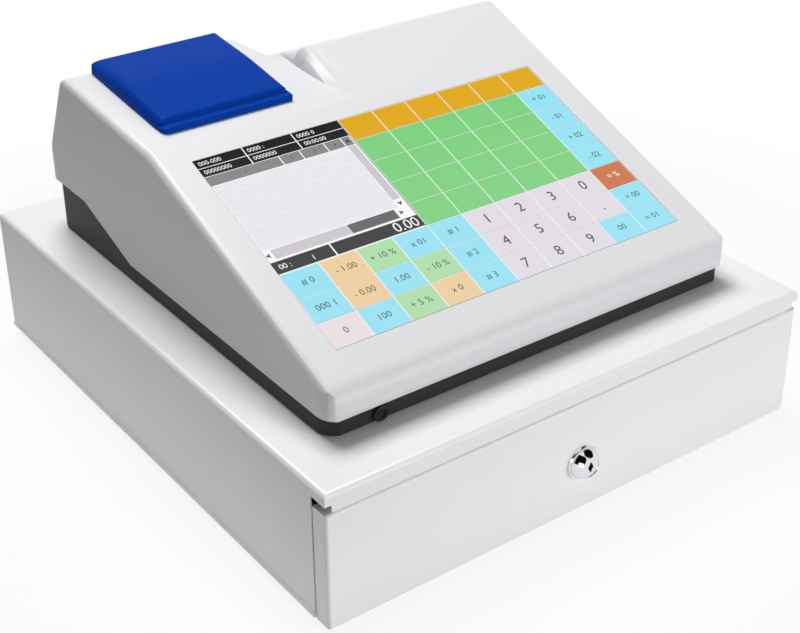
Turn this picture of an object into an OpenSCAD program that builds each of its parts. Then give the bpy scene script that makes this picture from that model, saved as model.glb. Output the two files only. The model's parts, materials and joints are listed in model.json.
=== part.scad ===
/* [Drawer case] */
// outside width of the folded steel case
case_w = 400; // [392:1:408]
// outside depth of the case, front lip to back
case_d = 450; // [440:1:460]
// height of the case above its feet
case_h = 99; // [98:0.5:102]
// height of the rubber feet
foot_h = 6; // [4:0.5:8]
// thickness of the case's sheet steel
sheet = 1.2; // [1:0.1:1.4]
// outside radius of the folded top edges
fold_r = 4; // [3:0.5:5]
// height of the front lip that covers the fascia's top edge
lip_h = 13.2; // [12.5:0.1:14]
// height of the proud hem along the foot of the sides
hem_h = 3.5; // [3:0.1:4]

/* [Drawer] */
// depth of the fascia's side returns
fascia_d = 14.5; // [14:0.5:16]
// gap between the lip and the fascia's top edge
lip_gap = 1.5; // [1.2:0.1:2]
// room for the slides at each side of the inner steel tray
slide_room = 14.8; // [14.6:0.1:16]
// height of the tray's side walls
tray_h = 54; // [50:1:56]
// travel of the drawer, front wards
travel = 290; // [250:5:300]
// radius of the slide rollers
roller_r = 9.5; // [9:0.1:9.6]
// radius of the roller spindles
spindle_r = 2.5; // [2:0.1:3]
// clearance in the running bores, on the radius
run_fit = 0.05; // [0.03:0.01:0.1]

/* [Till insert] */
// depth of a note compartment
note_d = 222; // [210:1:224]
// columns of coin cups, two rows deep
cup_columns = 4; // [3:1:5]
// radius of a coin cup's scooped floor
cup_r = 30; // [27:0.5:31]
// length of a note clip's arm
clip_len = 100; // [90:1:104]
// lift of the note clips in degrees
clip_lift = 33; // [25:1:33]

/* [Lock] */
// outside diameter of the lock's collar
lock_d = 25; // [23:0.5:27]
// how far the lock stands proud of the fascia
lock_proud = 9; // [7:0.5:10]
// height of the lock's axis above the case's bottom edge
lock_z = 38; // [34:0.5:44]

/* [Register housing] */
// width of the white border beside the screen
bezel = 25; // [23:0.5:27]
// slope of the screen panel in degrees
panel_a = 20.9; // [20.5:0.1:21.2]
// slope of the printer deck in degrees
deck_a = 6.33; // [6:0.1:6.6]
// wall thickness of the mouldings
wall = 2.6; // [2.2:0.1:2.8]
// radius of the rounded front edge
nose_r = 16; // [15.5:0.1:16.5]
// radius of the upright corners at the front
corner_r = 15; // [12:1:17]
// radius along the panel's side edges
side_r = 6; // [5:0.5:7]
// radius of the soft left edge of the screen's crest
hump_r = 16; // [12:0.5:16]
// radius of the upright corner at the right end of the screen's crest
crest_r = 18; // [14:0.5:20]
// height of the dark strip at the front
strip_h = 13.6; // [13:0.1:14.5]

/* [Screen] */
// lit width of the screen
screen_w = 288; // [280:1:290]
// lit height of the screen
screen_h = 178; // [172:1:180]
// thickness of the touch glass
glass_t = 2; // [1.8:0.1:2.4]

/* [Printer] */
// width of the blue lid
lid_w = 103; // [100:0.5:105]
// opening angle of the lid in degrees
lid_open = 85; // [70:1:85]
// radius of the lid's rear barrel
barrel_r = 5.6; // [5.4:0.1:5.8]
// wall thickness of the lid
lid_wall = 2; // [1.8:0.1:2.2]
// radius along the lid's side edges
lid_r = 5; // [3:0.5:6]
// radius of the paper roll
roll_r = 36; // [28:1:37]
// width of the paper roll
roll_w = 79.5; // [78:0.5:80]
// radius of the rubber platen
platen_r = 6.5; // [6:0.1:6.7]

/* [Hidden] */
$fn = 64;
eps = 0.01;
half_w = case_w / 2;
half_d = case_d / 2;
front_y = -half_d;
case_z0 = foot_h;
case_top = foot_h + case_h;
lip_z = case_top - lip_h;
side_y = front_y + fascia_d + 0.7;
in_w = half_w - sheet;
fascia_top = lip_z - lip_gap;
fascia_w = half_w - 0.6;
fascia_back = front_y + fascia_d;
tray_x = in_w - slide_room;
tray_z = foot_h + 10;
tray_front = fascia_back;
tray_back = half_d - 47;
tray_top = tray_z + tray_h;
floor_z = tray_z + sheet;
roller_z = foot_h + 49;
front_roller_y = front_y + 35;
rear_roller_y = half_d - 60;
channel_h = 2 * roller_r + 0.6;
flange_in = in_w - sheet - 6;
till_x = tray_x - 1.6;
till_y0 = tray_front + 14;
till_y1 = tray_back - 4;
till_wall = 2;
till_floor = floor_z + 2.2;
clip_rod_r = 2.5;
// one clip, a node of its own, for each note compartment
note_count = 5;
till_top = floor_z + 50;
note_y0 = till_y1 - till_wall - note_d;
rod_y0 = till_y1 - 24;
rod_z0 = till_top + 2;
pad_r = 5;
clip_rest = asin((rod_z0 - till_floor - 2.2 - pad_r) / clip_len);
lock_zz = foot_h + lock_z;
lock_r = lock_d / 2;
pin_y = tray_back + 11;
latch_x = -30;
latch_y = half_d - 20;
latch_z = foot_h + 26;
bracket_screws = [latch_x - 54, latch_x + 92];
rear_screws = [-150, -50, 50, 150];
case_screw_z = case_z0 + 9;
screw_r = 2;

reg_x = screen_w / 2 + bezel;
reg_foot = 1.3;
base_z = case_top + reg_foot;
split_z = case_top + strip_h;
// side faces and leaning ends of the dark base
base_x = reg_x - 1;
base_front = -183;
base_back = 184;
base_foot_front = base_front + 1.5;
base_foot_back = base_back - 4;
strip_a = atan((base_foot_front - base_front) / (split_z - base_z));
screw_x = reg_x - 17;
screw_list = [for (x = [-screw_x, screw_x]) for (y = [-160, 20, 125]) [x, y]];
// right edge, width, front and back edge of the main board
board_x = reg_x - 23;
board_w = 176;
board_y0 = -32;
board_y1 = base_back - 12;
board_list = [for (x = [board_x - 166, board_x - 26]) for (y = [board_y0 + 12, board_y1 - 32]) [x, y]];
foot_list = [for (x = [-128, 128]) for (y = [-145, 145]) [x, y]];
case_foot_x = half_w - 30;
case_foot_y = half_d - 35;
lead_x = 60;
lead_y = 150;
rise_z = split_z + 24;
rise_y0 = 66;
rise_y1 = 133;
nose_y = -170.3;
nose_z = case_top + 21.8;
panel_t = tan(panel_a);
deck_t = tan(deck_a);
tan_y = nose_y - nose_r * sin(panel_a);
tan_z = nose_z + nose_r * cos(panel_a);
deck_y0 = 32.1;
deck_z0 = case_top + 114.2;
deck_end = 149.5;
notch_w = 9.8;
notch_front = 110.5;
ridge_r = 6;
lid_inset = 22;
ridge_y = 82;
ridge_z = panel_z(ridge_y) - ridge_r / cos(panel_a);
hump_x = -reg_x + lid_inset + lid_w + 31;
back_y = 192.7;
back_z = case_top + 40.3;
shelf_y = 100;
shelf_z = case_top + 75;
shelf_end_z = case_top + 58;
shelf_t = (shelf_z - shelf_end_z) / (back_plane_y(shelf_end_z) - shelf_y);
// lean of the crest's back face from the upright, tangent to the ridge
lens_a = atan2(shelf_y - ridge_y, ridge_z - shelf_z)
  - asin(ridge_r / norm([shelf_y - ridge_y, ridge_z - shelf_z]));
screen_mid = -73.7;
glass_z = panel_z(screen_mid);
lid_x0 = -reg_x + lid_inset;
lid_x1 = lid_x0 + lid_w;
lid_mid = (lid_x0 + lid_x1) / 2;
lid_u0 = 9.5;
lid_u1 = 118.2;
// the lid's front step, its crease and the heights of its top there
lid_step = 16;
lid_step_v = 7.9;
lid_lip_v = 4.5;
lid_gap = 0.4;
crease_u = 62;
crease_v = 10.3;
hinge_u = lid_u1 - barrel_r;
hinge_v = barrel_r + 0.2;
hinge_y = deck_y0 + hinge_u * cos(deck_a) - hinge_v * sin(deck_a);
hinge_z = deck_z0 + hinge_u * sin(deck_a) + hinge_v * cos(deck_a);
mouth_x0 = lid_x0 + 3.5;
mouth_x1 = lid_x1 - 4;
mouth_y0 = 47.4;
mouth_y1 = 139.5;
platen_y = 56.5;
platen_z = deck_z0 - 2.2;
roll_y = 100;
bucket_r = 39;
bucket_z = deck_z0 - 35.2;
roll_z = bucket_z - bucket_r + 0.3 + roll_r;
// inner half width of the print frame, and its sheet
frame_x = 39.8;
frame_t = 1.2;
gear_x0 = lid_mid - 45.9;
gear_x1 = gear_x0 + 4;
idler_y = platen_y - 8.4;
idler_z = platen_z - 14.4;
pinion_y = idler_y - 7.8;
pinion_z = idler_z - 10.4;

function panel_z(y) = tan_z + (y - tan_y) * panel_t;
function deck_z(y) = deck_z0 + (y - deck_y0) * deck_t;
function panel_zo(y, off) = panel_z(y) - off / cos(panel_a);
function deck_zo(y, off) = deck_z(y) - off / cos(deck_a);
function bend_y(off) = (deck_zo(0, off) - panel_zo(0, off)) / (panel_t - deck_t);
// the leaning back plane and the shelf behind the screen's crest
function back_plane_y(z) = back_y - (z - back_z) * (back_y - deck_end) / (deck_z(deck_end) - back_z);
function shelf_zo(y, off) = shelf_z - (y - shelf_y) * shelf_t - off;
// where the panel plane meets the crest's back face, and where that face meets the shelf
function crest_y(off) = ridge_y
  + (ridge_r - off) * (cos(lens_a) - sin(panel_a)) / (1 + sin(lens_a - panel_a));
function step_y(off) = (ridge_r - off + ridge_y * cos(lens_a)
  - (shelf_z + shelf_y * shelf_t - off - ridge_z) * sin(lens_a)) / (cos(lens_a) - shelf_t * sin(lens_a));

// block between two corners
module block(x0, x1, y0, y1, z0, z1) {
  translate([x0, y0, z0]) cube([x1 - x0, y1 - y0, z1 - z0]);
}

// round bars along the three directions
module bar_x(r, x0, x1, y, z) {
  translate([x0, y, z]) rotate([0, 90, 0]) cylinder(r = r, h = x1 - x0);
}
module bar_y(r, y0, y1, x, z) {
  translate([x, y1, z]) rotate([90, 0, 0]) cylinder(r = r, h = y1 - y0);
}
module bar_z(r, z0, z1, x, y) {
  translate([x, y, z0]) cylinder(r = r, h = z1 - z0);
}

// a side outline drawn as (y, z) and pulled from x0 to x1
module slab(x0, x1) {
  translate([x0, 0, 0]) rotate([90, 0, 90]) linear_extrude(x1 - x0) children();
}

// children on both sides of the middle plane
module pair() {
  children();
  mirror([1, 0, 0]) children();
}

// waste left outside a rounded edge that runs along +y, body at -x and -z
module edge_waste(len, r) {
  rotate([90, 0, 0]) translate([0, 0, -len]) linear_extrude(len) difference() {
    translate([-r, -r]) square(r + 2);
    translate([-r, -r]) circle(r);
  }
}

// waste outside a rounded corner v of a flat outline whose neighbours are p and q
module corner_waste(v, p, q, r) {
  a = (p - v) / norm(p - v);
  b = (q - v) / norm(q - v);
  half = acos(a * b) / 2;
  m = (a + b) / norm(a + b);
  c = v + m * r / sin(half);
  difference() {
    polygon([c, v + a * r / tan(half), v - m * 3, v + b * r / tan(half)]);
    translate(c) circle(r);
  }
}

// upright block with rounded upright corners
module soft_block(x0, x1, y0, y1, z0, z1, r) {
  block(x0 + r, x1 - r, y0, y1, z0, z1);
  block(x0, x1, y0 + r, y1 - r, z0, z1);
  for (x = [x0 + r, x1 - r]) for (y = [y0 + r, y1 - r]) bar_z(r, z0, z1, x, y);
}

// ---- drawer case ----

module case_body(off) {
  difference() {
    block(-half_w + off, half_w - off, front_y + off, half_d - off,
          case_z0 + hem_h - (off > 0 ? 1 : 0), case_top - off);
    pair() translate([half_w - off, front_y - 1, case_top - off])
      edge_waste(case_d + 2, fold_r - off);
    translate([-half_w - 1, front_y + off, case_top - off]) rotate([0, 0, -90])
      edge_waste(case_w + 2, fold_r - off);
  }
}

module drawer_case() {
  color("white") {
    difference() {
      case_body(0);
      case_body(sheet);
      block(-in_w, in_w, front_y - 1, front_y + sheet + 1, 0, lip_z);
      pair() block(half_w - 5, half_w + 1, front_y - 1, side_y, 0, lip_z + 5.2);
      // hole for the register's lead
      bar_z(12, case_top - 4, case_top + 1, lead_x, lead_y);
      // cable outlet in the back
      block(120, 150, half_d - 4, half_d + 1, 60, 74);
      case_screw_holes();
    }
    // stiffening return behind the lip
    block(-half_w + 7, half_w - 7, front_y + sheet, front_y + 7, lip_z, lip_z + sheet);
    // rolled bead that stiffens the rear edge from inside
    block(-half_w + 8, half_w - 8, half_d - 12, half_d - sheet, case_top - 12, case_top - 10.8);
  }
}

module case_screw_holes() {
  for (x = rear_screws) bar_y(screw_r, half_d - 3 * sheet - 3, half_d + 1, x, case_screw_z);
}

module base_pan() {
  color("white") difference() {
    union() {
      block(-half_w - 0.6, half_w + 0.6, side_y, half_d + 0.6, case_z0, case_z0 + sheet);
      // proud hem that the sides stand on
      pair() block(half_w - 1.6, half_w + 0.6, side_y, half_d + 0.6, case_z0, case_z0 + hem_h);
      block(-half_w, half_w, half_d - 1.6, half_d + 0.6, case_z0, case_z0 + hem_h);
      // flanges screwed to the case
      pair() block(in_w - sheet, in_w, side_y + 8, half_d - 6, case_z0, case_z0 + 14);
      block(-half_w + 12, half_w - 12, half_d - 2 * sheet, half_d - sheet, case_z0, case_z0 + 14);
      // front cross flange
      block(-in_w + 4, in_w - 4, side_y, side_y + sheet, case_z0, case_z0 + 7);
      // pressed ribs
      for (x = [-110, -37, 37, 110]) {
        soft_block(x - 6, x + 6, -170, 150, case_z0, case_z0 + 3.2, 5.9);
      }
    }
    for (x = [-110, -37, 37, 110]) {
      soft_block(x - 4.6, x + 4.6, -168.6, 148.6, case_z0 - 1, case_z0 + 2, 4.5);
    }
    for (x = [-case_foot_x, case_foot_x]) for (y = [-case_foot_y, case_foot_y]) {
      bar_z(4, case_z0 - 1, case_z0 + 3, x, y);
    }
    for (x = bracket_screws) bar_z(screw_r, case_z0 - 1, case_z0 + 3, x, latch_y - 6);
    case_screw_holes();
  }
}

module case_feet() {
  color("black") for (x = [-case_foot_x, case_foot_x]) for (y = [-case_foot_y, case_foot_y]) {
    difference() {
      union() {
        translate([x, y, 0]) cylinder(r1 = 10, r2 = 12, h = foot_h);
        bar_z(4, foot_h - eps, foot_h + sheet, x, y);
        bar_z(5.5, foot_h + sheet, foot_h + sheet + 2, x, y);
      }
      bar_z(5, -1, 1.2, x, y);
    }
  }
}

module case_screws() {
  color("silver") {
    for (x = rear_screws) {
      bar_y(screw_r, half_d - 2 * sheet - 2, half_d, x, case_screw_z);
      bar_y(3.6, half_d, half_d + 0.9, x, case_screw_z);
    }
    for (x = bracket_screws) {
      bar_z(screw_r, case_z0, case_z0 + 2 * sheet, x, latch_y - 6);
      bar_z(3.6, case_z0 + 2 * sheet, case_z0 + 2 * sheet + 1.4, x, latch_y - 6);
    }
  }
}

// ---- slides ----

module slide_rails() {
  color("silver") pair() {
    difference() {
      union() {
        block(in_w - sheet, in_w, front_roller_y - 12, half_d - 30,
              roller_z - channel_h / 2 - sheet, roller_z + channel_h / 2 + sheet);
        for (s = [-1, 1]) {
          block(flange_in, in_w - sheet, front_roller_y - 12, half_d - 30,
                roller_z + s * (channel_h / 2 + sheet / 2) - sheet / 2,
                roller_z + s * (channel_h / 2 + sheet / 2) + sheet / 2);
        }
        // end stop
        block(flange_in, in_w - sheet, half_d - 34, half_d - 30,
              roller_z - channel_h / 2 - sheet, roller_z + channel_h / 2 + sheet);
        bar_x(spindle_r, tray_x + 1.9, in_w - sheet, front_roller_y, roller_z);
        bar_x(spindle_r + 1.4, tray_x + 1.7, tray_x + 2.2, front_roller_y, roller_z);
        bar_x(spindle_r + 1.4, tray_x + 7.6, in_w - sheet, front_roller_y, roller_z);
      }
      for (y = [-110, 0, 110]) bar_x(2.2, in_w - 3, in_w + 1, y, roller_z);
    }
  }
}

module roller(x0, x1, y) {
  color("white") difference() {
    bar_x(roller_r, x0, x1, y, roller_z);
    bar_x(spindle_r + run_fit, x0 - 1, x1 + 1, y, roller_z);
    bar_x(roller_r - 2.2, x1 - 0.8, x1 + 1, y, roller_z);
    for (a = [0:60:300]) {
      bar_x(1.3, x0 - 1, x1 + 1, y + 5 * cos(a), roller_z + 5 * sin(a));
    }
  }
}

module front_roller_left() {
  mirror([1, 0, 0]) roller(tray_x + 2.4, tray_x + 7.2, front_roller_y);
}
module front_roller_right() {
  roller(tray_x + 2.4, tray_x + 7.2, front_roller_y);
}
module rear_roller_left() {
  mirror([1, 0, 0]) roller(tray_x + 8.2, tray_x + 13, rear_roller_y);
}
module rear_roller_right() {
  roller(tray_x + 8.2, tray_x + 13, rear_roller_y);
}

module drawer_runners() {
  color("silver") pair() {
    difference() {
      block(tray_x, tray_x + sheet, tray_front + 6, tray_back, roller_z - 5,
            roller_z + roller_r + 0.4 + sheet);
      for (y = [-150, 0, 120]) bar_x(2.2, tray_x - 1, tray_x + 3, y, roller_z + 3);
    }
    block(tray_x, tray_x + 7.2, tray_front + 6, tray_back, roller_z + roller_r + 0.4,
          roller_z + roller_r + 0.4 + sheet);
    bar_x(spindle_r, tray_x + sheet, tray_x + 13.3, rear_roller_y, roller_z);
    bar_x(spindle_r + 1.5, tray_x + sheet, tray_x + 7.9, rear_roller_y, roller_z);
  }
}

// ---- latch and kick-out ----

module latch_bracket() {
  color("silver") difference() {
    union() {
      block(latch_x - 64, latch_x + 104, latch_y - 14, half_d - 2 * sheet - 0.2,
            case_z0 + sheet, case_z0 + 2 * sheet);
      block(latch_x - 64, latch_x + 104, half_d - 3 * sheet - 0.2, half_d - 2 * sheet - 0.2,
            case_z0 + sheet, case_z0 + 44);
      bar_z(5, case_z0 + 2 * sheet - eps, latch_z - 0.4, latch_x, latch_y);
      bar_z(2.5, latch_z - 1, latch_z + 6, latch_x, latch_y);
      bar_z(3.8, latch_z + 3.6, latch_z + 4.6, latch_x, latch_y);
    }
    for (x = bracket_screws) bar_z(screw_r, case_z0, case_z0 + 5, x, latch_y - 6);
    case_screw_holes();
  }
}

module latch_hook() {
  color("silver") difference() {
    union() {
      bar_z(7, latch_z, latch_z + 3, latch_x, latch_y);
      translate([latch_x, latch_y, latch_z]) linear_extrude(3) polygon([
        [0, 4], [36, 2], [41, -1], [41.5, -10], [35, -12.5], [36.5, -6], [30, -5], [0, -5]]);
      // tail with its drive pin
      block(latch_x - 3.5, latch_x + 3.5, latch_y, latch_y + 12, latch_z, latch_z + 3);
      bar_z(1.6, latch_z + 2, latch_z + 11, latch_x, latch_y + 10);
    }
    bar_z(2.5 + run_fit, latch_z - 1, latch_z + 4, latch_x, latch_y);
  }
}

module solenoid() {
  color("orange") difference() {
    union() {
      block(latch_x - 60, latch_x - 58, latch_y + 2, latch_y + 16, latch_z + 1, latch_z + 19);
      block(latch_x - 22, latch_x - 20, latch_y + 2, latch_y + 16, latch_z + 1, latch_z + 19);
      block(latch_x - 60, latch_x - 20, latch_y + 14.2, latch_y + 16.2, latch_z - 12, latch_z + 19);
      bar_x(7, latch_x - 58, latch_x - 22, latch_y + 9, latch_z + 9.5);
    }
    bar_x(3.4, latch_x - 61, latch_x - 19, latch_y + 9, latch_z + 9.5);
  }
}

module solenoid_plunger() {
  color("silver") {
    bar_x(3.1, latch_x - 52, latch_x - 7, latch_y + 9, latch_z + 9.5);
    difference() {
      block(latch_x - 9, latch_x + 5, latch_y + 4.5, latch_y + 14, latch_z + 7, latch_z + 10);
      block(latch_x - 2.4, latch_x + 2.4, latch_y + 6.6, latch_y + 12.4, latch_z + 6, latch_z + 12);
    }
  }
}

module ejector_post() {
  color("silver") {
    bar_y(3, tray_back + 6, half_d - 3 * sheet - 0.2, 58, case_z0 + 30);
    bar_y(9, half_d - 3 * sheet - 2.2, half_d - 3 * sheet - 0.2, 58, case_z0 + 30);
    bar_y(6, tray_back + 1, tray_back + 6, 58, case_z0 + 30);
  }
}

module ejector_spring() {
  color("silver") difference() {
    bar_y(7.4, tray_back + 6, half_d - 3 * sheet - 2.2, 58, case_z0 + 30);
    bar_y(6.2, tray_back + 5, half_d, 58, case_z0 + 30);
  }
}

// ---- drawer ----

module drawer_tray() {
  color("lightgrey") difference() {
    union() {
      block(-tray_x, tray_x, tray_front, tray_back, tray_z, tray_top);
      block(-tray_x, tray_x, tray_front, tray_front + sheet, tray_top - 1, fascia_top - 3);
    }
    block(-tray_x + sheet, tray_x - sheet, tray_front + sheet, tray_back - sheet,
          floor_z, tray_top + 1);
    bar_y(lock_r - 2.9, tray_front - 1, tray_front + 3, 0, lock_zz);
    for (x = [-120, -40, 40, 120]) for (y = [-140, -70, 0, 70, 130]) {
      soft_block(x - 22, x + 22, y - 6, y + 6, tray_z - 1, floor_z + 1, 5.9);
    }
    pair() for (x = [60, 150]) {
      bar_y(2.2, tray_front - 1, tray_front + 3, x, fascia_top - 12);
    }
  }
}

module drawer_fascia() {
  color("white") difference() {
    block(-fascia_w, fascia_w, front_y, fascia_back, case_z0 - 0.8, fascia_top);
    block(-fascia_w + sheet, fascia_w - sheet, front_y + sheet, fascia_back - sheet,
          case_z0 - 0.8 + sheet, fascia_top - sheet);
    block(-fascia_w + 16, fascia_w - 16, fascia_back - 2 * sheet, fascia_back + 1,
          case_z0 + 10, fascia_top - 18);
    pair() translate([fascia_w, front_y, case_z0 - 3]) upright_waste(case_h, 2.4);
    translate([-half_w - 1, front_y, fascia_top]) rotate([0, 0, -90]) edge_waste(case_w + 2, 2.4);
    translate([-half_w - 1, front_y, case_z0 - 0.8]) rotate([0, 0, -90]) mirror([0, 0, 1])
      edge_waste(case_w + 2, 2.4);
    bar_y(lock_r - 2.9, front_y - 1, front_y + 4, 0, lock_zz);
    pair() for (x = [60, 150]) {
      bar_y(2.2, fascia_back - 4, fascia_back + 1, x, fascia_top - 12);
    }
  }
}

// waste outside an upright rounded corner, body at -x and +y
module upright_waste(h, r) {
  linear_extrude(h) difference() {
    translate([-r, -2]) square(r + 2);
    translate([-r, r]) circle(r);
  }
}

module striker() {
  color("silver") {
    for (z = [latch_z - 8, latch_z + 10]) {
      difference() {
        block(-9, 9, tray_back, pin_y + 5, z, z + 2);
        pair() translate([9, pin_y + 5, z - 1]) mirror([0, 1, 0]) upright_waste(4, 5);
      }
    }
    difference() {
      block(-9, 9, tray_back, tray_back + 2, latch_z - 8, latch_z + 12);
      for (z = [latch_z - 2, latch_z + 6]) bar_y(1.8, tray_back - 1, tray_back + 3, 0, z);
    }
    bar_z(2.5, latch_z - 6 - eps, latch_z + 10 + eps, 0, pin_y);
  }
}

// ---- lock ----

module lock_barrel() {
  color("silver") difference() {
    translate([0, front_y, lock_zz]) rotate([90, 0, 0]) rotate_extrude() difference() {
      union() {
        square([lock_r, 1.6]);
        square([lock_r - 0.9, lock_proud - 3]);
        square([lock_r - 3.2, lock_proud]);
        translate([lock_r - 3.9, lock_proud - 3]) circle(3);
        translate([0, -fascia_d - 2]) square([lock_r - 3, fascia_d + 3]);
      }
      translate([-1, lock_proud]) square([lock_r + 4, 5]);
      translate([-40, -40]) square([40, 80]);
    }
    bar_y(7 + run_fit, front_y - 30, front_y + 30, 0, lock_zz);
  }
}

module lock_nut() {
  color("silver") difference() {
    translate([0, front_y + sheet + 4, lock_zz]) rotate([90, 0, 0]) cylinder(r = 14.5, h = 4, $fn = 6);
    bar_y(lock_r - 3, front_y, front_y + 8, 0, lock_zz);
  }
}

module lock_plug() {
  color("silver") difference() {
    union() {
      bar_y(7, front_y - lock_proud + 0.4, front_y + fascia_d + 5, 0, lock_zz);
      // cam plate behind the tray's front wall
      translate([0, front_y + fascia_d + 5, lock_zz]) rotate([90, 0, 0]) linear_extrude(2.2) union() {
        circle(8);
        translate([-30, -5]) square([30, 10]);
        translate([-30, 0]) circle(5);
      }
    }
    // key slot
    block(-1, 1, front_y - lock_proud - 1, front_y + 6, lock_zz - 3.6, lock_zz + 3.6);
    bar_y(2.2, front_y - lock_proud - 1, front_y - 1, 0, lock_zz);
  }
}

// ---- till ----

module till_insert() {
  color("dimgrey") difference() {
    union() {
      difference() {
        soft_block(-till_x, till_x, till_y0, till_y1, floor_z, till_top, 6);
        soft_block(-till_x + till_wall, till_x - till_wall, till_y0 + till_wall,
                   note_y0 - till_wall, till_floor, till_top + 1, 4);
        for (i = [0:note_count - 1]) note_pocket(i);
        // thumb dips in the rear wall
        for (i = [0:note_count - 1]) bar_y(16, till_y1 - 6, till_y1 + 2, note_x(i), till_top + 4);
      }
      // posts that carry the clip rod
      for (i = [0:note_count]) {
        block(post_x(i) - 1.6, post_x(i) + 1.6, rod_y0 - 9, rod_y0 + 9, till_top - 12, rod_z0 + 6);
      }
    }
    bar_x(clip_rod_r, -till_x - 1, till_x + 1, rod_y0, rod_z0);
  }
}

function note_p() = (2 * till_x - till_wall) / note_count;
function note_x(i) = -till_x + till_wall / 2 + (i + 0.5) * note_p();
function post_x(i) = -till_x + 2.6 + i * (2 * till_x - 5.2) / note_count;

module note_pocket(i) {
  w = note_p() - till_wall;
  soft_block(note_x(i) - w / 2, note_x(i) + w / 2, note_y0, till_y1 - till_wall,
             till_floor, till_top + 1, 5);
}

module coin_tray() {
  cw = (2 * till_x - 2 * till_wall - 1.2) / cup_columns;
  y0 = till_y0 + till_wall + 0.6;
  y1 = note_y0 - till_wall - 0.6;
  cd = (y1 - y0) / 2;
  rr = min(cup_r, cd / 2 - 1);
  rim = min(rr + 1.8, cd / 2 - 0.1);
  top = till_top - 1;
  color("grey") difference() {
    union() {
      soft_block(-till_x + till_wall + 0.6, till_x - till_wall - 0.6, y0, y1, top - 2.4, top, 3.5);
      for (j = [0, 1]) {
        difference() {
          bar_x(rr + 1.8, -till_x + till_wall + 2, till_x - till_wall - 2,
                y0 + (j + 0.5) * cd, top - 4);
          block(-half_w, half_w, y0 - 20, y1 + 20, top - 4, top + 60);
        }
        block(-till_x + till_wall + 2, till_x - till_wall - 2, y0 + (j + 0.5) * cd - rim,
              y0 + (j + 0.5) * cd + rim, top - 4.1, top - 1);
      }
      // feet that stand on the till's floor
      for (x = [-till_x + 14, 0, till_x - 14]) {
        block(x - 4, x + 4, y0 + cd - 3, y0 + cd + 3, till_floor, top - 2);
      }
    }
    for (i = [0:cup_columns - 1]) for (j = [0, 1]) {
      x0 = -till_x + till_wall + 0.6 + i * cw;
      yc = y0 + (j + 0.5) * cd;
      bar_x(rr, x0 + (i == 0 ? 3.4 : 1.2), x0 + cw - (i == cup_columns - 1 ? 3.4 : 1.2), yc, top - 4);
      block(x0 + (i == 0 ? 3.4 : 1.2), x0 + cw - (i == cup_columns - 1 ? 3.4 : 1.2), yc - rr, yc + rr,
            top - 4, top + 1);
    }
  }
}

module clip_rod() {
  color("silver") bar_x(clip_rod_r, -till_x + 0.6, till_x - 0.6, rod_y0, rod_z0);
}

module note_clip(i) {
  x = note_x(i);
  color("silver") translate([x, rod_y0, rod_z0]) rotate([clip_rest, 0, 0]) difference() {
    union() {
      bar_x(5.5, -9, 9, 0, 0);
      block(-6, 6, -clip_len + 2, -2, -1.6, 1.6);
      pair() block(4.4, 6, -clip_len + 2, -2, -3, 1.6);
      bar_x(pad_r, -20, 20, -clip_len, 0);
    }
    bar_x(clip_rod_r + run_fit, -30, 30, 0, 0);
    pair() bar_x(pad_r - 2, 8, 21, -clip_len, 0);
  }
}

module note_clip_1() { note_clip(0); }
module note_clip_2() { note_clip(1); }
module note_clip_3() { note_clip(2); }
module note_clip_4() { note_clip(3); }
module note_clip_5() { note_clip(4); }

// ---- register: lower housing ----

// the dark base between its leaning ends, drawn in by off
module base_solid(off) {
  intersection() {
    slab(-base_x + off, base_x - off) polygon([
      [base_foot_front + off, base_z + off], [base_foot_back - off, base_z + off],
      [base_back - off, rise_z], [rise_y1, rise_z], [rise_y0, split_z], [base_front + off, split_z]]);
    soft_block(-base_x + off, base_x - off, base_front + off, base_back - off, base_z - 1,
               rise_z + 1, corner_r - off);
  }
}

module lower_housing() {
  color("dimgrey") difference() {
    union() {
      difference() {
        base_solid(0);
        base_solid(wall);
      }
      // screw towers
      for (p = screw_list) bar_z(5, base_z + 1, split_z - 2, p[0], p[1]);
      // board posts
      for (p = board_list) bar_z(3.4, base_z + 1, base_z + 8, p[0], p[1]);
    }
    for (p = screw_list) {
      bar_z(1.7, base_z - 1, split_z, p[0], p[1]);
      bar_z(3.4, base_z - 1, base_z + 1.6, p[0], p[1]);
    }
    for (p = board_list) bar_z(1.2, base_z + 4, base_z + 9, p[0], p[1]);
    // cooling slots
    for (x = [-60:12:96]) soft_block(x - 2.5, x + 2.5, -130, -80, base_z - 1, base_z + wall + 1, 2.4);
    // ports in the back wall
    for (p = port_list) {
      block(p[0] - p[1] / 2 - 0.3, p[0] + p[1] / 2 + 0.3, port_y - 12, base_back + 6,
            port_z - 0.3, port_z + p[2] + 0.3);
    }
    bar_y(jack_r + 0.3, port_y - 12, base_back + 6, jack_x, jack_z);
    // hole for the key reader
    reader_frame() bar_y(reader_r - 0.8, -8, 8, 0, 0);
    // rocker cut-out in the right side
    block(reg_x - 6, reg_x + 1, rocker_y - 11, rocker_y + 11, rocker_z - 7, rocker_z + 7);
    // hole for the lead in the floor
    bar_z(11, base_z - 1, base_z + wall + 1, lead_x, lead_y);
  }
}

// rear faces of the sockets, their depth and the room in them
port_y = base_back - 2.2;
port_len = 21.8;
port_room = 13.8;
port_z = base_z + 9.8;
jack_x = board_x - 12;
board_z = base_z + 9.6;
jack_z = port_z + 5.5;
jack_r = 4.5;
// middle, width and height of each socket
port_list = [[board_x - 156, 31, 12.5], [board_x - 114, 31, 12.5], [board_x - 80, 15, 15.5],
             [board_x - 60, 16, 13.5], [board_x - 38, 13, 12]];
reader_x = -reg_x + 38.5;
reader_z = (base_z + split_z) / 2;
reader_r = (split_z - base_z) / 2 - 0.3;
rocker_y = 150;
rocker_z = base_z + 22;
rocker_tilt = 8;

module register_feet() {
  color("black") for (p = foot_list) bar_z(9, case_top, base_z, p[0], p[1]);
}

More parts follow.
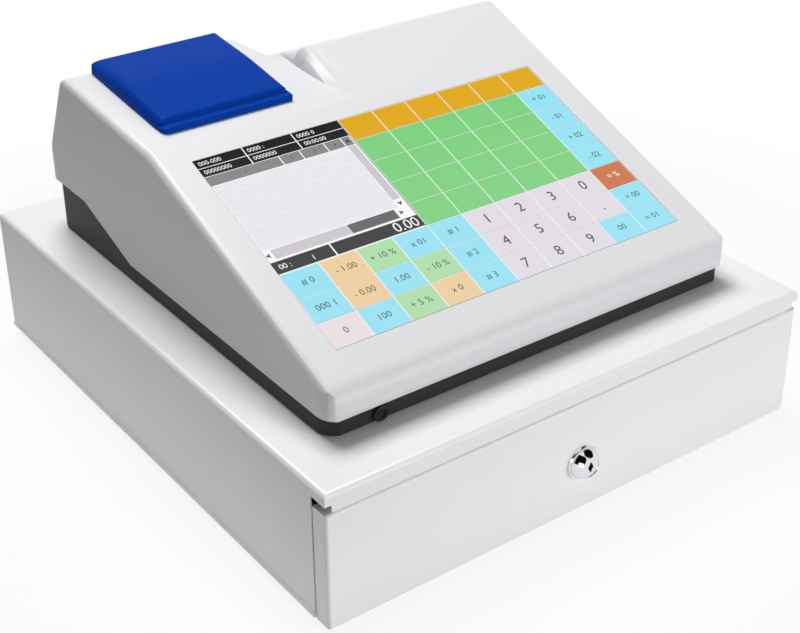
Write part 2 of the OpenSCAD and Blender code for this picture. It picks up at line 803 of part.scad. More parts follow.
module register_screws() {
  color("silver") for (p = screw_list) {
    bar_z(1.7, base_z + 1.2, split_z - 1, p[0], p[1]);
    bar_z(3.2, base_z + 0.2, base_z + 1.6, p[0], p[1]);
  }
}

// ---- register: upper housing ----

// corners of the tower's side outline, (y, z), drawn in by off
function tower_points(off) = [
  [nose_y - nose_r + off, split_z],
  [nose_y - nose_r + off, panel_zo(nose_y - nose_r + off, off)],
  [bend_y(off), deck_zo(bend_y(off), off)],
  [deck_end - off * 1.2, deck_zo(deck_end - off * 1.2, off)],
  [back_y - off * 1.15, back_z],
  [185.5 - off, rise_z],
  [rise_y1, rise_z],
  [rise_y0, split_z]];

module tower_side(off) {
  p = tower_points(off);
  difference() {
    polygon(p);
    nose_waste(off);
    corner_waste(p[3], p[2], p[4], 6 - off);
    corner_waste(p[4], p[3], p[5], 4 - off);
  }
}

// waste in front of the round nose, above and below its foremost line
module nose_waste(off) {
  difference() {
    polygon([[nose_y, nose_z], [nose_y - 2 * nose_r * sin(panel_a), nose_z + 2 * nose_r * cos(panel_a)],
             [nose_y - 40, nose_z + 30], [nose_y - 40, split_z - 5], [nose_y - 8, split_z - 5]]);
    translate([nose_y, nose_z]) circle(nose_r - off);
  }
}

// side outline of the screen hump and the shelf behind it
module hump_side(off) {
  end_y = back_plane_y(shelf_end_z) - off * 1.15;
  p = [
    [nose_y - nose_r + off, split_z],
    [nose_y - nose_r + off, panel_zo(nose_y - nose_r + off, off)],
    [crest_y(off), panel_zo(crest_y(off), off)],
    [step_y(off), shelf_zo(step_y(off), off)],
    [end_y, shelf_zo(end_y, off)],
    [back_y - off * 1.15, back_z],
    [185.5 - off, rise_z],
    [rise_y1, rise_z],
    [rise_y0, split_z]];
  difference() {
    polygon(p);
    nose_waste(off);
    corner_waste(p[2], p[1], p[3], ridge_r - off);
    corner_waste(p[4], p[3], p[5], 6 - off);
    corner_waste(p[5], p[4], p[6], 4 - off);
  }
}

module plan_block(off) {
  soft_block(-reg_x + off, reg_x - off, nose_y - nose_r + off, back_y - off, split_z - 1,
             case_top + 160, corner_r - off);
}

// room behind the crest, to the right of the tower's slanting wall
module tower_notch(off) {
  x = hump_x - off;
  notch_x = x - notch_w;
  notch_y = notch_front - off;
  difference() {
    translate([0, 0, split_z]) linear_extrude(160) polygon([
      [x, 60], [x, notch_y], [notch_x, notch_y], [notch_x - 8.5, deck_end - 2 - off],
      [notch_x - 18, back_y + 5], [hump_x + off + 1, back_y + 5], [hump_x + off + 1, 60]]);
    slab(-100, hump_x + 20) hump_side(off);
  }
}

// waste outside the upright right corner of the crest, down to the shelf
module crest_corner_waste(off) {
  difference() {
    lens_frame() translate([reg_x - off, -off, -100]) mirror([0, 1, 0])
      upright_waste(130, crest_r - off);
    slab(reg_x - 40, reg_x + 5) polygon([
      [60, shelf_zo(60, off)], [140, shelf_zo(140, off)], [140, 100], [60, 100]]);
  }
}

// waste along the soft left edge of the hump, running out where the hump meets the deck
module hump_edge_waste(off) {
  c = hump_r - 2 * off;
  difference() {
    translate([hump_x + off, bend_y(0), panel_zo(bend_y(0), off)]) rotate([panel_a, 0, 0])
      translate([0, -5, 0])
        if (off == 0)
          mirror([1, 0, 0]) edge_waste(100, hump_r);
        else
          rotate([-90, 0, 0]) linear_extrude(100)
            polygon([[-2, -2], [c, -2], [c, 0], [0, c], [-2, c]]);
    deck_frame() block(-reg_x, reg_x, -60, 140, -60, -off);
  }
}

module shell_solid(off) {
  intersection() {
    plan_block(off);
    union() {
      difference() {
        slab(-reg_x + off, hump_x + off) tower_side(off);
        tower_notch(off);
      }
      difference() {
        slab(hump_x + off, reg_x - off) hump_side(off);
        hump_edge_waste(off);
        crest_corner_waste(off);
      }
    }
  }
}

// waste along the left edges, mitred where the panel bends into the deck
module left_edge_waste() {
  mid_a = (panel_a + deck_a) / 2;
  mirror([1, 0, 0]) {
    difference() {
      translate([reg_x, tan_y, tan_z]) rotate([panel_a, 0, 0]) translate([0, -30, 0])
        edge_waste(320, side_r);
      translate([reg_x - 10, bend_y(0), deck_z(bend_y(0))]) rotate([mid_a, 0, 0])
        translate([0, 0, -20]) cube([20, 180, 40]);
    }
    difference() {
      translate([reg_x, bend_y(0), deck_z(bend_y(0))]) rotate([deck_a, 0, 0])
        translate([0, -12, 0]) edge_waste(150, side_r);
      translate([reg_x - 10, bend_y(0), deck_z(bend_y(0))]) rotate([mid_a, 0, 0])
        translate([0, -40, -20]) cube([20, 40, 40]);
    }
  }
}

module upper_housing() {
  color("white") difference() {
    union() {
      difference() {
        shell_solid(0);
        translate([reg_x, tan_y, tan_z]) rotate([panel_a, 0, 0]) translate([0, -30, 0])
          edge_waste(320, side_r);
        left_edge_waste();
        shell_solid(wall);
      }
      hinge_ears();
    }
    screen_window();
    // printer mouth
    block(mouth_x0, mouth_x1, mouth_y0, mouth_y1, deck_z0 - 12, deck_z0 + 14);
    customer_window();
    // paper slot in front of the mouth, with the tear bar in it
    block(lid_mid - 41, lid_mid + 41, mouth_y0 - 4, mouth_y0 + 1, deck_z0 - 12, deck_z0 + 14);
  }
}

module panel_frame() {
  translate([0, screen_mid, glass_z]) rotate([panel_a, 0, 0]) children();
}

module screen_window() {
  panel_frame() {
    block(-screen_w / 2 - 0.3, screen_w / 2 + 0.3, -screen_h / 2 - 0.3, screen_h / 2 + 0.3, -9, 5);
  }
}

module deck_frame() {
  translate([0, deck_y0, deck_z0]) rotate([deck_a, 0, 0]) children();
}

ear_list = [lid_mid - 34, lid_mid + 34];

module hinge_ears() {
  deck_frame() for (x = ear_list) {
    difference() {
      union() {
        bar_x(3.8, x - 3, x + 3, hinge_u, hinge_v);
        block(x - 3, x + 3, hinge_u - 2.2, hinge_u + 2.2, -wall, hinge_v);
      }
      bar_x(1.5 + run_fit, x - 4, x + 4, hinge_u, hinge_v);
    }
  }
}

lens_x1 = reg_x - 37;
lens_x0 = lens_x1 - 110;

module lens_frame() {
  translate([0, ridge_y + ridge_r * cos(lens_a), ridge_z + ridge_r * sin(lens_a)])
    rotate([lens_a, 0, 0]) children();
}

module customer_window() {
  lens_frame() block(lens_x0 - 0.3, lens_x1 + 0.3, -8, 3, -42.3, -11.7);
}

module customer_lens() {
  color("black") lens_frame() {
    block(lens_x0, lens_x1, -2.2, -0.2, -42, -12);
    block(lens_x0 - 3, lens_x1 + 3, -wall - 2, -wall - 0.1, -45, -9);
    block(lens_x0 + 1, lens_x1 - 1, -3, -2, -41, -13);
  }
}

module customer_module() {
  color("green") lens_frame() {
    block(lens_x0 - 2, lens_x1 + 2, -wall - 3.6, -wall - 2, -46, -8);
    block(lens_x0 + 6, lens_x1 - 6, -wall - 9.4, -wall - 3.6, -38, -16);
  }
}

// ---- screen ----

module touch_glass() {
  color("lightblue") panel_frame() {
    block(-screen_w / 2, screen_w / 2, -screen_h / 2, screen_h / 2, -glass_t - 0.2, -0.2);
  }
}

module display_module() {
  color("grey") panel_frame() {
    difference() {
      block(-screen_w / 2 - 6, screen_w / 2 + 6, -screen_h / 2 - 5, screen_h / 2 + 5, -9, -wall);
      block(-screen_w / 2, screen_w / 2, -screen_h / 2, screen_h / 2, -glass_t - 0.2, 1);
    }
    block(-60, 60, -50, 40, -11, -8.9);
  }
}

module display_frame() {
  color("silver") panel_frame() {
    difference() {
      block(-screen_w / 2 - 12, screen_w / 2 + 12, -screen_h / 2 - 4, screen_h / 2 + 10, -10.2, -9);
      block(-61, 61, -51, 41, -12, -8);
      for (x = [-110, -84, 84, 110]) for (y = [-60, 0, 60]) bar_z(9, -12, -8, x, y);
    }
    for (x = [-screen_w / 2 - 9, screen_w / 2 + 9]) for (y = [-screen_h / 2 + 20, screen_h / 2 - 20]) {
      difference() {
        block(x - 3, x + 3, y - 6, y + 6, -9, -wall);
        bar_z(1.4, -9.5, -wall - 1, x, y);
      }
    }
  }
}

// ---- small front fitting ----

// on the leaning dark strip, outwards along -y
module reader_frame() {
  translate([reader_x, base_foot_front - (reader_z - base_z) * tan(strip_a), reader_z])
    rotate([strip_a, 0, 0]) children();
}

module key_reader() {
  color("black") reader_frame() {
    difference() {
      union() {
        bar_y(reader_r, -2.4, 0, 0, 0);
        bar_y(reader_r - 0.9, -0.1, 4.5, 0, 0);
      }
      bar_y(3.4, -3, -1, 0, 0);
    }
    bar_y(1.6, -2, -0.5, 0, 0);
  }
}

// ---- electronics ----

module main_board() {
  color("green") {
    difference() {
      block(board_x - board_w, board_x, board_y0, board_y1, base_z + 8, board_z);
      for (p = board_list) bar_z(1.5, base_z + 7, base_z + 11, p[0], p[1]);
    }
    // processor under its finned cooler
    translate([board_x - 126, board_y0 + 52, board_z]) {
      block(0, 40, 0, 40, 0, 3.4);
      for (i = [0:5]) block(2 + i * 6.4, 4 + i * 6.4, 0, 40, 3.4, 9.4);
    }
    // capacitors, memory and its slot
    for (x = [66, 51, 36]) bar_z(5, board_z, board_z + 10.4, board_x - x, board_y0 + 92);
    block(board_x - 166, board_x - 146, board_y0 + 62, board_y0 + 122, board_z, board_z + 2.4);
    block(board_x - 76, board_x - 26, board_y0 + 112, board_y0 + 116, board_z, board_z + 6.4);
  }
}

module rear_ports() {
  color("silver") {
    for (p = port_list) difference() {
      block(p[0] - p[1] / 2, p[0] + p[1] / 2, port_y - port_len, port_y, port_z, port_z + p[2]);
      block(p[0] - p[1] / 2 + 0.8, p[0] + p[1] / 2 - 0.8, port_y - port_room, port_y + 8,
            port_z + 0.8, port_z + p[2] - 0.8);
    }
    difference() {
      bar_y(jack_r, port_y - port_len + 2, port_y, jack_x, jack_z);
      bar_y(jack_r - 1.3, port_y - port_room, port_y + 8, jack_x, jack_z);
    }
    block(jack_x - 5, jack_x + 5, port_y - port_len, port_y - 6.8, port_z - 0.2, port_z + 1.4);
  }
}

module port_inserts() {
  color("black") {
    for (p = port_list) {
      block(p[0] - p[1] / 2 + 2.2, p[0] + p[1] / 2 - 2.2, port_y - port_room, port_y - 4.8,
            port_z + p[2] / 2 - 1.4, port_z + p[2] / 2 + 1.4);
    }
    bar_y(1, port_y - port_room, port_y - 3.8, jack_x, jack_z);
  }
}

module rocker_frame() {
  color("black") {
    difference() {
      union() {
        block(reg_x - 1, reg_x + 0.4, rocker_y - 12.5, rocker_y + 12.5, rocker_z - 8.5, rocker_z + 8.5);
        block(reg_x - 13, reg_x - 1, rocker_y - 10.8, rocker_y + 10.8, rocker_z - 6.8, rocker_z + 6.8);
      }
      block(reg_x - 11, reg_x + 2, rocker_y - 9.2, rocker_y + 9.2, rocker_z - 5.4, rocker_z + 5.4);
    }
    bar_z(1, rocker_z - 5.5, rocker_z + 5.5, reg_x - 5, rocker_y);
  }
}

module power_rocker() {
  color("black") difference() {
    translate([reg_x - 5, rocker_y, rocker_z - 5]) rotate([0, 0, -rocker_tilt]) linear_extrude(10)
      difference() {
        polygon([[-3, -3], [-3, 3], [2, 7.8], [5, 7.9], [4.2, 0], [5, -7.9], [2, -7.8]]);
        circle(1 + run_fit);
      }
    translate([reg_x - 5, rocker_y, rocker_z]) rotate([0, 0, -rocker_tilt])
      bar_x(1.4, 4.3, 8, 5.2, 0);
  }
}

// ---- printer ----

module paper_bucket() {
  x0 = lid_mid - roll_w / 2 - 1;
  x1 = lid_mid + roll_w / 2 + 1;
  color("dimgrey") difference() {
    union() {
      slab(x0 - 1.6, x1 + 1.6) bucket_side(1.6);
      // mounting feet
      pair_at(lid_mid) block(24, 40, roll_y - 20, roll_y + 20, base_z + wall, bucket_z - bucket_r + 3);
    }
    slab(x0, x1) bucket_side(0);
    block(x0 - 5, x1 + 5, 40, 64.5, bucket_z + 16, bucket_z + 60);
    pair_at(lid_mid) block(26, 38, roll_y - 18, roll_y + 18, base_z, bucket_z - bucket_r - 3);
  }
}

module pair_at(x) {
  translate([x, 0, 0]) pair() children();
}

module bucket_side(off) {
  intersection() {
    union() {
      translate([roll_y, bucket_z]) circle(bucket_r + off);
      translate([roll_y - bucket_r - off, bucket_z]) square([2 * bucket_r + 2 * off, 60]);
    }
    polygon([[40, 100], [160, 100], [160, deck_zo(160, wall)], [40, deck_zo(40, wall)]]);
  }
}

module print_frame() {
  color("silver") {
    difference() {
      union() {
        for (x = [lid_mid - frame_x - frame_t, lid_mid + frame_x]) slab(x, x + frame_t) polygon([
          [28, pinion_z - 14], [56, pinion_z - 14], [58.6, bucket_z + 16.8], [64.2, platen_z - 14],
          [64.2, platen_z - 5.5], [60, platen_z - 8.5], [50, platen_z - 9.5], [42, platen_z - 3],
          [28, platen_z - 12]]);
        block(lid_mid - frame_x - frame_t, lid_mid + frame_x + frame_t, 28, 30,
              pinion_z - 14, pinion_z - 2);
        // feet down to the floor of the housing
        for (x = [lid_mid - frame_x, lid_mid + frame_x - 10]) {
          block(x, x + 10, 30, 56, base_z + wall, pinion_z - 12.8);
        }
        bar_x(1.5, gear_x0 - 0.4, lid_mid - 41 + eps, idler_y, idler_z);
        bar_x(2.6, gear_x1 + 0.3, lid_mid - 41 + eps, idler_y, idler_z);
      }
      bar_x(2, lid_mid - 42, lid_mid - 39, pinion_y, pinion_z);
      for (x = [lid_mid - frame_x + 1.2, lid_mid + frame_x - 8.8]) {
        block(x, x + 7.6, 29, 54.8, base_z + 6, pinion_z - 15);
      }
    }
  }
}

module thermal_head() {
  x0 = lid_mid - 38.4;
  x1 = lid_mid + 38.4;
  color("grey") translate([0, platen_y, platen_z]) rotate([45, 0, 0]) {
    block(x0, x1, -9, 6, -platen_r - 2.3, -platen_r - 0.3);
    block(lid_mid - 39.8, lid_mid + 39.8, -7, 5, -platen_r - 4.4, -platen_r - 2.3);
    for (i = [0:3]) block(x0 + 25, x1 - 2, -6 + i * 3, -4.8 + i * 3, -platen_r - 7, -platen_r - 4.3);
  }
}

module tear_bar() {
  x0 = lid_mid - frame_x;
  x1 = lid_mid + frame_x;
  color("silver") difference() {
    union() {
      block(x0, x1, mouth_y0 - 3.6, mouth_y0 - 2.6, deck_z(mouth_y0) - 8, deck_z(mouth_y0 - 3) - 0.2);
      block(x0, x1, mouth_y0 - 12, mouth_y0 - 2.6, deck_z(mouth_y0) - 8, deck_z(mouth_y0) - 7);
    }
    for (i = [0:38]) translate([x0 + 0.8 + i * 2, mouth_y0 - 5, deck_z(mouth_y0 - 3) + 0.3])
      rotate([0, 45, 0]) cube([1.3, 6, 1.3]);
  }
}

module feed_motor() {
  x0 = lid_mid - frame_x;
  color("silver") {
    bar_x(10, x0, x0 + 19, pinion_y, pinion_z);
    bar_x(4, x0 + 19, x0 + 21, pinion_y, pinion_z);
    bar_x(1, gear_x0 - 0.5, x0 + eps, pinion_y, pinion_z);
    bar_x(2, lid_mid - 41.2, x0 + eps, pinion_y, pinion_z);
    for (z = [pinion_z - 10.6, pinion_z + 10.6]) {
      block(x0, x0 + 0.8, pinion_y - 4, pinion_y + 4, z - 2, z + 2);
    }
  }
}

module gear(n, tip, root, bore, y, z) {
  translate([gear_x0, y, z]) rotate([90, 0, 90]) linear_extrude(gear_x1 - gear_x0) difference() {
    union() {
      circle(root);
      for (i = [0:n - 1]) rotate(i * 360 / n) polygon([
        [root - 0.3, -0.5], [tip, -0.22], [tip, 0.22], [root - 0.3, 0.5]]);
    }
    circle(bore);
  }
}

module motor_pinion() {
  color("gold") gear(14, 3.7, 2.8, 1 + run_fit, pinion_y, pinion_z);
}

module idler_gear() {
  color("white") gear(34, 9, 8, 1.5 + run_fit, idler_y, idler_z);
}

module platen_roller() {
  color("black") {
    bar_x(platen_r, lid_mid - 37.5, lid_mid + 37.5, platen_y, platen_z);
    bar_x(2.5, gear_x0, lid_mid + 43.5, platen_y, platen_z);
    gear(27, 7.3, 6.3, 2.4, platen_y, platen_z);
  }
}

module paper_roll() {
  color("white") difference() {
    bar_x(roll_r, lid_mid - roll_w / 2, lid_mid + roll_w / 2, roll_y, roll_z);
    bar_x(6.3, lid_mid - roll_w, lid_mid + roll_w, roll_y, roll_z);
  }
}

// height of the lid's top over the deck
function lid_v(u) = u < crease_u
  ? crease_v - (crease_u - u) * (crease_v - lid_step_v) / (crease_u - lid_step)
  : crease_v + (u - crease_u) * (hinge_v + barrel_r - crease_v) / (hinge_u - crease_u);

// lid outline along the deck behind its front step, (u, v), drawn in by off
module lid_side(off) {
  foot = off > 0 ? -1.6 : lid_gap;
  front = [lid_step + off, lid_step_v - off];
  difference() {
    polygon([[lid_step + off, foot], front, [crease_u, crease_v - off],
             [hinge_u, hinge_v + barrel_r - off], [hinge_u, foot]]);
    corner_waste(front, [lid_step + off, foot], [crease_u, crease_v - off], 4 - off);
  }
  translate([hinge_u, hinge_v]) circle(barrel_r - off);
}

// waste along a side edge of the lid's top, from u0 to u1, body at -x
module lid_edge_waste(u0, u1, off) {
  rise = atan((lid_v(u1) - lid_v(u0)) / (u1 - u0));
  translate([lid_x1 - off, u0, lid_v(u0) - off]) rotate([rise, 0, 0])
    translate([0, -12, 0]) edge_waste(u1 - u0 + 24, lid_r - off);
}

// the lid's raised body, drawn in by off
module lid_form(off) {
  difference() {
    intersection() {
      slab(lid_x0 + off, lid_x1 - off) lid_side(off);
      soft_block(lid_x0 + off, lid_x1 - off, lid_step + off, lid_u1 - off, -2, 20, lid_r + 0.5 - off);
    }
    for (side = [0, 1]) translate([side * 2 * lid_mid, 0, 0]) mirror([side, 0, 0]) {
      lid_edge_waste(lid_step, crease_u, off);
      lid_edge_waste(crease_u, hinge_u, off);
    }
  }
}

// lip that runs out round the raised body of the lid
module lid_lip() {
  difference() {
    block(lid_x0 + 0.4, lid_x1 - 0.2, lid_u0, lid_step + 3, lid_gap, lid_lip_v);
    translate([lid_x0 + 0.4, lid_u0, -1]) mirror([1, 0, 0]) upright_waste(8, lid_r + 1);
    translate([lid_x1 - 0.2, lid_u0, -1]) upright_waste(8, 1.5);
    translate([lid_x0 - 1, lid_u0, lid_lip_v]) rotate([0, 0, -90]) edge_waste(lid_w + 2, 1.8);
  }
}

module printer_lid() {
  color("blue") {
    deck_frame() difference() {
      union() {
        difference() {
          union() {
            lid_form(0);
            // thin lip along the front
            lid_lip();
          }
          intersection() {
            lid_form(lid_wall);
            block(lid_x0, lid_x1, lid_step, hinge_u - barrel_r + 0.4, -5, 35);
          }
        }
        // stiffening ribs
        for (x = [lid_mid - 20, lid_mid + 20]) slab(x - 0.8, x + 0.8) polygon([
          [17, 1], [17.5, 5.5], [60, 9], [hinge_u - 5, 10], [hinge_u - 5, 3], [60, 5]]);
        // bearing arms of the platen
        for (x = [lid_mid - 41, lid_mid + 39]) slab(x, x + 2) union() {
          polygon([[platen_u - 5, platen_v], [platen_u - 3, 6.8], [platen_u + 12, 7.6],
                   [platen_u + 5, platen_v]]);
          translate([platen_u, platen_v]) circle(5);
        }
      }
      bar_x(1.5, lid_x0 + 3, lid_x1 - 3, hinge_u, hinge_v);
      for (x = ear_list) {
        bar_x(4.5, x - 3.6, x + 3.6, hinge_u, hinge_v);
        block(x - 3.6, x + 3.6, hinge_u - 3.6, hinge_u + 8, -1, hinge_v + 2.6);
      }
      bar_x(2.5 + run_fit, lid_mid - 44, lid_mid + 44, platen_u, platen_v);
    }
  }
}

platen_u = (platen_y - deck_y0) * cos(deck_a) + (platen_z - deck_z0) * sin(deck_a);
platen_v = -(platen_y - deck_y0) * sin(deck_a) + (platen_z - deck_z0) * cos(deck_a);

module hinge_rod() {
  color("silver") deck_frame() bar_x(1.5, lid_x0 + 3, lid_x1 - 3, hinge_u, hinge_v);
}

drawer_case();
base_pan();
case_feet();
slide_rails();
case_screws();
latch_bracket();
latch_hook();
solenoid();
solenoid_plunger();
ejector_post();
ejector_spring();
front_roller_left();
front_roller_right();
drawer_tray();
drawer_fascia();
drawer_runners();
rear_roller_left();
rear_roller_right();
striker();
lock_barrel();
lock_nut();
lock_plug();
till_insert();
coin_tray();
clip_rod();
note_clip_1();
note_clip_2();
note_clip_3();
note_clip_4();
note_clip_5();
lower_housing();
register_feet();
register_screws();
upper_housing();
touch_glass();
display_module();
display_frame();
key_reader();
main_board();
rear_ports();
port_inserts();
rocker_frame();
power_rocker();
customer_lens();
customer_module();
paper_bucket();
print_frame();
thermal_head();
tear_bar();
feed_motor();
motor_pinion();
idler_gear();
printer_lid();
hinge_rod();
platen_roller();
paper_roll();
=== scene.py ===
import json
from math import cos, pi, radians, sin

import bmesh
import bpy
import numpy as np
from mathutils import Matrix, Vector


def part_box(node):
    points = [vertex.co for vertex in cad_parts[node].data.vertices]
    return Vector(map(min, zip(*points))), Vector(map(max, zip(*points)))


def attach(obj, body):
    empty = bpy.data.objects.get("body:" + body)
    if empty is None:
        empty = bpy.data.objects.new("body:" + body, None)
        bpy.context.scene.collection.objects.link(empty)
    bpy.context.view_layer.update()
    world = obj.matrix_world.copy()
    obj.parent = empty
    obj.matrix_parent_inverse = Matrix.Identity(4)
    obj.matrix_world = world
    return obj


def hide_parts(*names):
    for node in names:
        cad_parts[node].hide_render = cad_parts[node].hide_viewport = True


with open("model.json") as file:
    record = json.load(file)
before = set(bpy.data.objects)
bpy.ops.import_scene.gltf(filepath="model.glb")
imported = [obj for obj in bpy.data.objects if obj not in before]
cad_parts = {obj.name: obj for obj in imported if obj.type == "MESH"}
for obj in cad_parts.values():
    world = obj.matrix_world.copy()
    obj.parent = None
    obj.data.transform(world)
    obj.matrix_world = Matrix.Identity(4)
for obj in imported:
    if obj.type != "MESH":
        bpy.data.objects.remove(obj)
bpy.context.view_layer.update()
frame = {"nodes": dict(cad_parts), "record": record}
nodes = frame["nodes"]
slotOf = {part["node"]: part["material_slot"] for part in frame["record"]["subparts"]}
bodyOf = {part: body for body, parts in frame["record"]["behaviour"]["bodies"].items() for part in parts}
mm = 0.001
print("frame loaded:", len(nodes), "nodes")


def linked(name, data):
    # a new object in the scene
    thing = bpy.data.objects.new(name, data)
    bpy.context.scene.collection.objects.link(thing)
    return thing


# the camera that took the photograph
view = dict(
    place=(-0.5842, -0.8332, 0.6440),   # where the lens stands
    turn=37.333,                        # clockwise from straight ahead, seen from above
    tilt=28.750,                        # down from the horizon
    roll=0.208,
    focal=1563.8,                       # in pixels of the picture
    centre=(436.4, 272.6),              # where the axis meets the picture
    picture=(800, 633),
    film=36.0,                          # width of the sensor, millimetres
    nearest=0.05,                       # nothing closer is drawn
)


def makeCamera(v):
    data = bpy.data.cameras.new("view")
    data.sensor_width = v["film"]
    data.lens = v["focal"] * v["film"] / v["picture"][0]
    data.shift_x = (v["picture"][0] / 2 - v["centre"][0]) / v["picture"][0]
    data.shift_y = (v["centre"][1] - v["picture"][1] / 2) / v["picture"][0]
    data.clip_start = v["nearest"]
    camera = linked("view", data)
    turn = Matrix.Rotation(-radians(v["turn"]), 4, "Z")
    tilt = Matrix.Rotation(pi / 2 - radians(v["tilt"]), 4, "X")
    roll = Matrix.Rotation(radians(v["roll"]), 4, "Z")
    camera.matrix_world = Matrix.Translation(v["place"]) @ turn @ tilt @ roll
    bpy.context.scene.camera = camera
    bpy.context.scene.view_settings.view_transform = "Standard"


makeCamera(view)


def tint(red, green, blue):
    # a screen colour, 0 to 255, as the linear colour that shaders use
    parts = np.array([red, green, blue]) / 255.0
    parts = np.where(parts <= 0.04045, parts / 12.92, ((parts + 0.055) / 1.055) ** 2.4)
    return (*parts.tolist(), 1.0)


def shaded(colour, factor):
    # a linear colour made darker or lighter
    return tuple(min(1.0, c * factor) for c in colour[:3]) + (1.0,)


class Wire:
    # an output socket; sums of wires and numbers add Math nodes
    def __init__(self, finish, socket):
        self.finish, self.socket = finish, socket

    def maths(self, operation, *values):
        return self.finish.add("Math", dict(operation=operation), *values)

    def __add__(self, other):
        return self.maths("ADD", self, other)

    def __rsub__(self, other):
        return self.maths("SUBTRACT", other, self)

    def __mul__(self, other):
        return self.maths("MULTIPLY", self, other)

    def __truediv__(self, other):
        return self.maths("DIVIDE", self, other)

    def __pow__(self, other):
        return self.maths("POWER", self, other)


class Finish:
    # one material: a Principled shader and what feeds it
    def __init__(self, name, **constants):
        self.material = bpy.data.materials.new(name)
        self.material.use_nodes = True
        self.tree = self.material.node_tree
        self.shader = self.tree.nodes["Principled BSDF"]
        self.end = self.tree.nodes["Material Output"]
        for socket, value in constants.items():
            self.shader.inputs[socket.replace("_", " ")].default_value = value

    def feed(self, socket, value):
        if isinstance(value, Wire):
            self.tree.links.new(value.socket, socket)
        else:
            socket.default_value = value

    def add(self, kind, settings=None, *values, **links):
        # a node with its settings and inputs, those in order and those by name;
        # the setting called output says which of its outputs comes back
        node = self.tree.nodes.new("ShaderNode" + kind)
        settings = dict(settings or {})
        output = settings.pop("output", 0)
        for name, value in settings.items():
            setattr(node, name, value)
        ins = [s for s in node.inputs if s.enabled]
        outs = [s for s in node.outputs if s.enabled]
        for spot, value in [*enumerate(values), *links.items()]:
            self.feed(ins[spot] if isinstance(spot, int) else node.inputs[spot.replace("_", " ")], value)
        return Wire(self, outs[output] if isinstance(output, int) else node.outputs[output])

    def place(self, stretch=(1, 1, 1), centre=(0, 0, 0)):
        # where a point lies from the centre, in metres, with each axis stretched
        here = self.add("TexCoord", dict(output="Object"))
        moved = self.add("VectorMath", dict(operation="SUBTRACT"), here, centre)
        return self.add("Mapping", None, moved, Scale=stretch)

    def noise(self, scale, detail=2.0, where=None):
        return self.add("TexNoise", None, where or self.place(), Scale=scale, Detail=detail)

    def blend(self, amount, first, second, mode="MIX"):
        return self.add("Mix", dict(data_type="RGBA", blend_type=mode), amount, first, second)

    def set(self, socket, value):
        self.feed(self.shader.inputs[socket], value)

    def rough(self, source, middle, spread):
        # the roughness follows the source from spread / 2 under the middle to spread / 2 over it
        self.set("Roughness", source * spread + (middle - spread / 2))

    def bump(self, height, depth):
        # depth in metres between the lowest and the highest point
        self.set("Normal", self.add("Bump", None, Distance=depth, Height=height))


def mottled(finish, colour, spread, scale):
    # the colour, a little darker and lighter in soft patches
    patches = finish.noise(scale, 3.0)
    return finish.blend(patches, shaded(colour, 1 - spread), shaded(colour, 1 + spread))


# what each plain moulding or coat of paint is like: colour, roughness and its spread,
# grain scale per metre, grain depth in micrometres, patch spread
coats = dict(
    white_paint=dict(colour=tint(245, 245, 245), rough=(0.36, 0.10), grain=520, depth=26, spread=0.015),
    grey_paint=dict(colour=tint(176, 180, 184), rough=(0.40, 0.10), grain=520, depth=26, spread=0.02),
    shell_white=dict(colour=tint(230, 230, 232), rough=(0.42, 0.10), grain=1900, depth=14, spread=0.010),
    base_charcoal=dict(colour=tint(41, 41, 42), rough=(0.55, 0.12), grain=1500, depth=30, spread=0.10,
                       gloss=0.25),
    fitting_black=dict(colour=tint(20, 20, 22), rough=(0.28, 0.10), grain=1500, depth=6, spread=0.10),
    till_black=dict(colour=tint(46, 46, 49), rough=(0.50, 0.14), grain=1300, depth=34, spread=0.08),
    cup_grey=dict(colour=tint(78, 79, 83), rough=(0.48, 0.14), grain=1300, depth=30, spread=0.06),
    roller_white=dict(colour=tint(222, 220, 212), rough=(0.38, 0.10), grain=900, depth=8, spread=0.02),
    gear_white=dict(colour=tint(220, 218, 208), rough=(0.36, 0.10), grain=900, depth=8, spread=0.02),
    module_grey=dict(colour=tint(118, 120, 124), rough=(0.48, 0.10), grain=1100, depth=12, spread=0.05),
    foot_rubber=dict(colour=tint(34, 34, 34), rough=(0.82, 0.10), grain=1700, depth=40, spread=0.15,
                     gloss=0.3),
    platen_rubber=dict(colour=tint(38, 38, 40), rough=(0.70, 0.10), grain=2400, depth=18, spread=0.12,
                       gloss=0.35),
)


def coated(name, colour, rough, grain, depth, spread, gloss=0.5):
    f = Finish(name, Specular_IOR_Level=gloss)
    f.set("Base Color", mottled(f, colour, spread, 24.0))
    f.rough(f.noise(60.0, 3.0), *rough)
    f.bump(f.noise(grain), depth * 1e-6)
    return f.material


# finishes with a make-up of their own: colours, roughness and its spread, scales per metre,
# depths in metres
blue = dict(colour=tint(3, 61, 164), rough=(0.38, 0.10), grain=700.0, depth=6e-6, coat=0.004, gloss=0.02)
zinc = dict(colour=tint(188, 192, 196), rough=(0.38, 0.16), crystals=160.0, share=0.12, depth=8e-6)
steel = dict(colour=tint(214, 216, 220), rough=(0.23, 0.14), stretch=(2.0, 60.0, 60.0), depth=5e-6)
brass = dict(colour=tint(206, 168, 92), rough=(0.295, 0.15), grain=1200.0, depth=4e-6)
# copper's dark and light are painted shade and painted highlight across the coil's turns
copper = dict(dark=tint(120, 58, 22), light=tint(208, 118, 62), rough=(0.31, -0.1), turns=640.0, depth=2e-4)
board = dict(dark=tint(18, 92, 52), light=tint(30, 118, 70), rough=(0.37, 0.1), tracks=90.0, depth=2e-5)
smoke = dict(colour=tint(24, 27, 30), rough=(0.09, 0.04), coat=(0.7, 0.2))
chrome = dict(colour=tint(226, 228, 231), rough=(0.10, 0.06))
paper = dict(dark=tint(232, 231, 226), light=tint(244, 244, 240), edge=tint(200, 198, 190),
             rough=(0.67, 0.1), rings=14000.0, depth=2e-5)


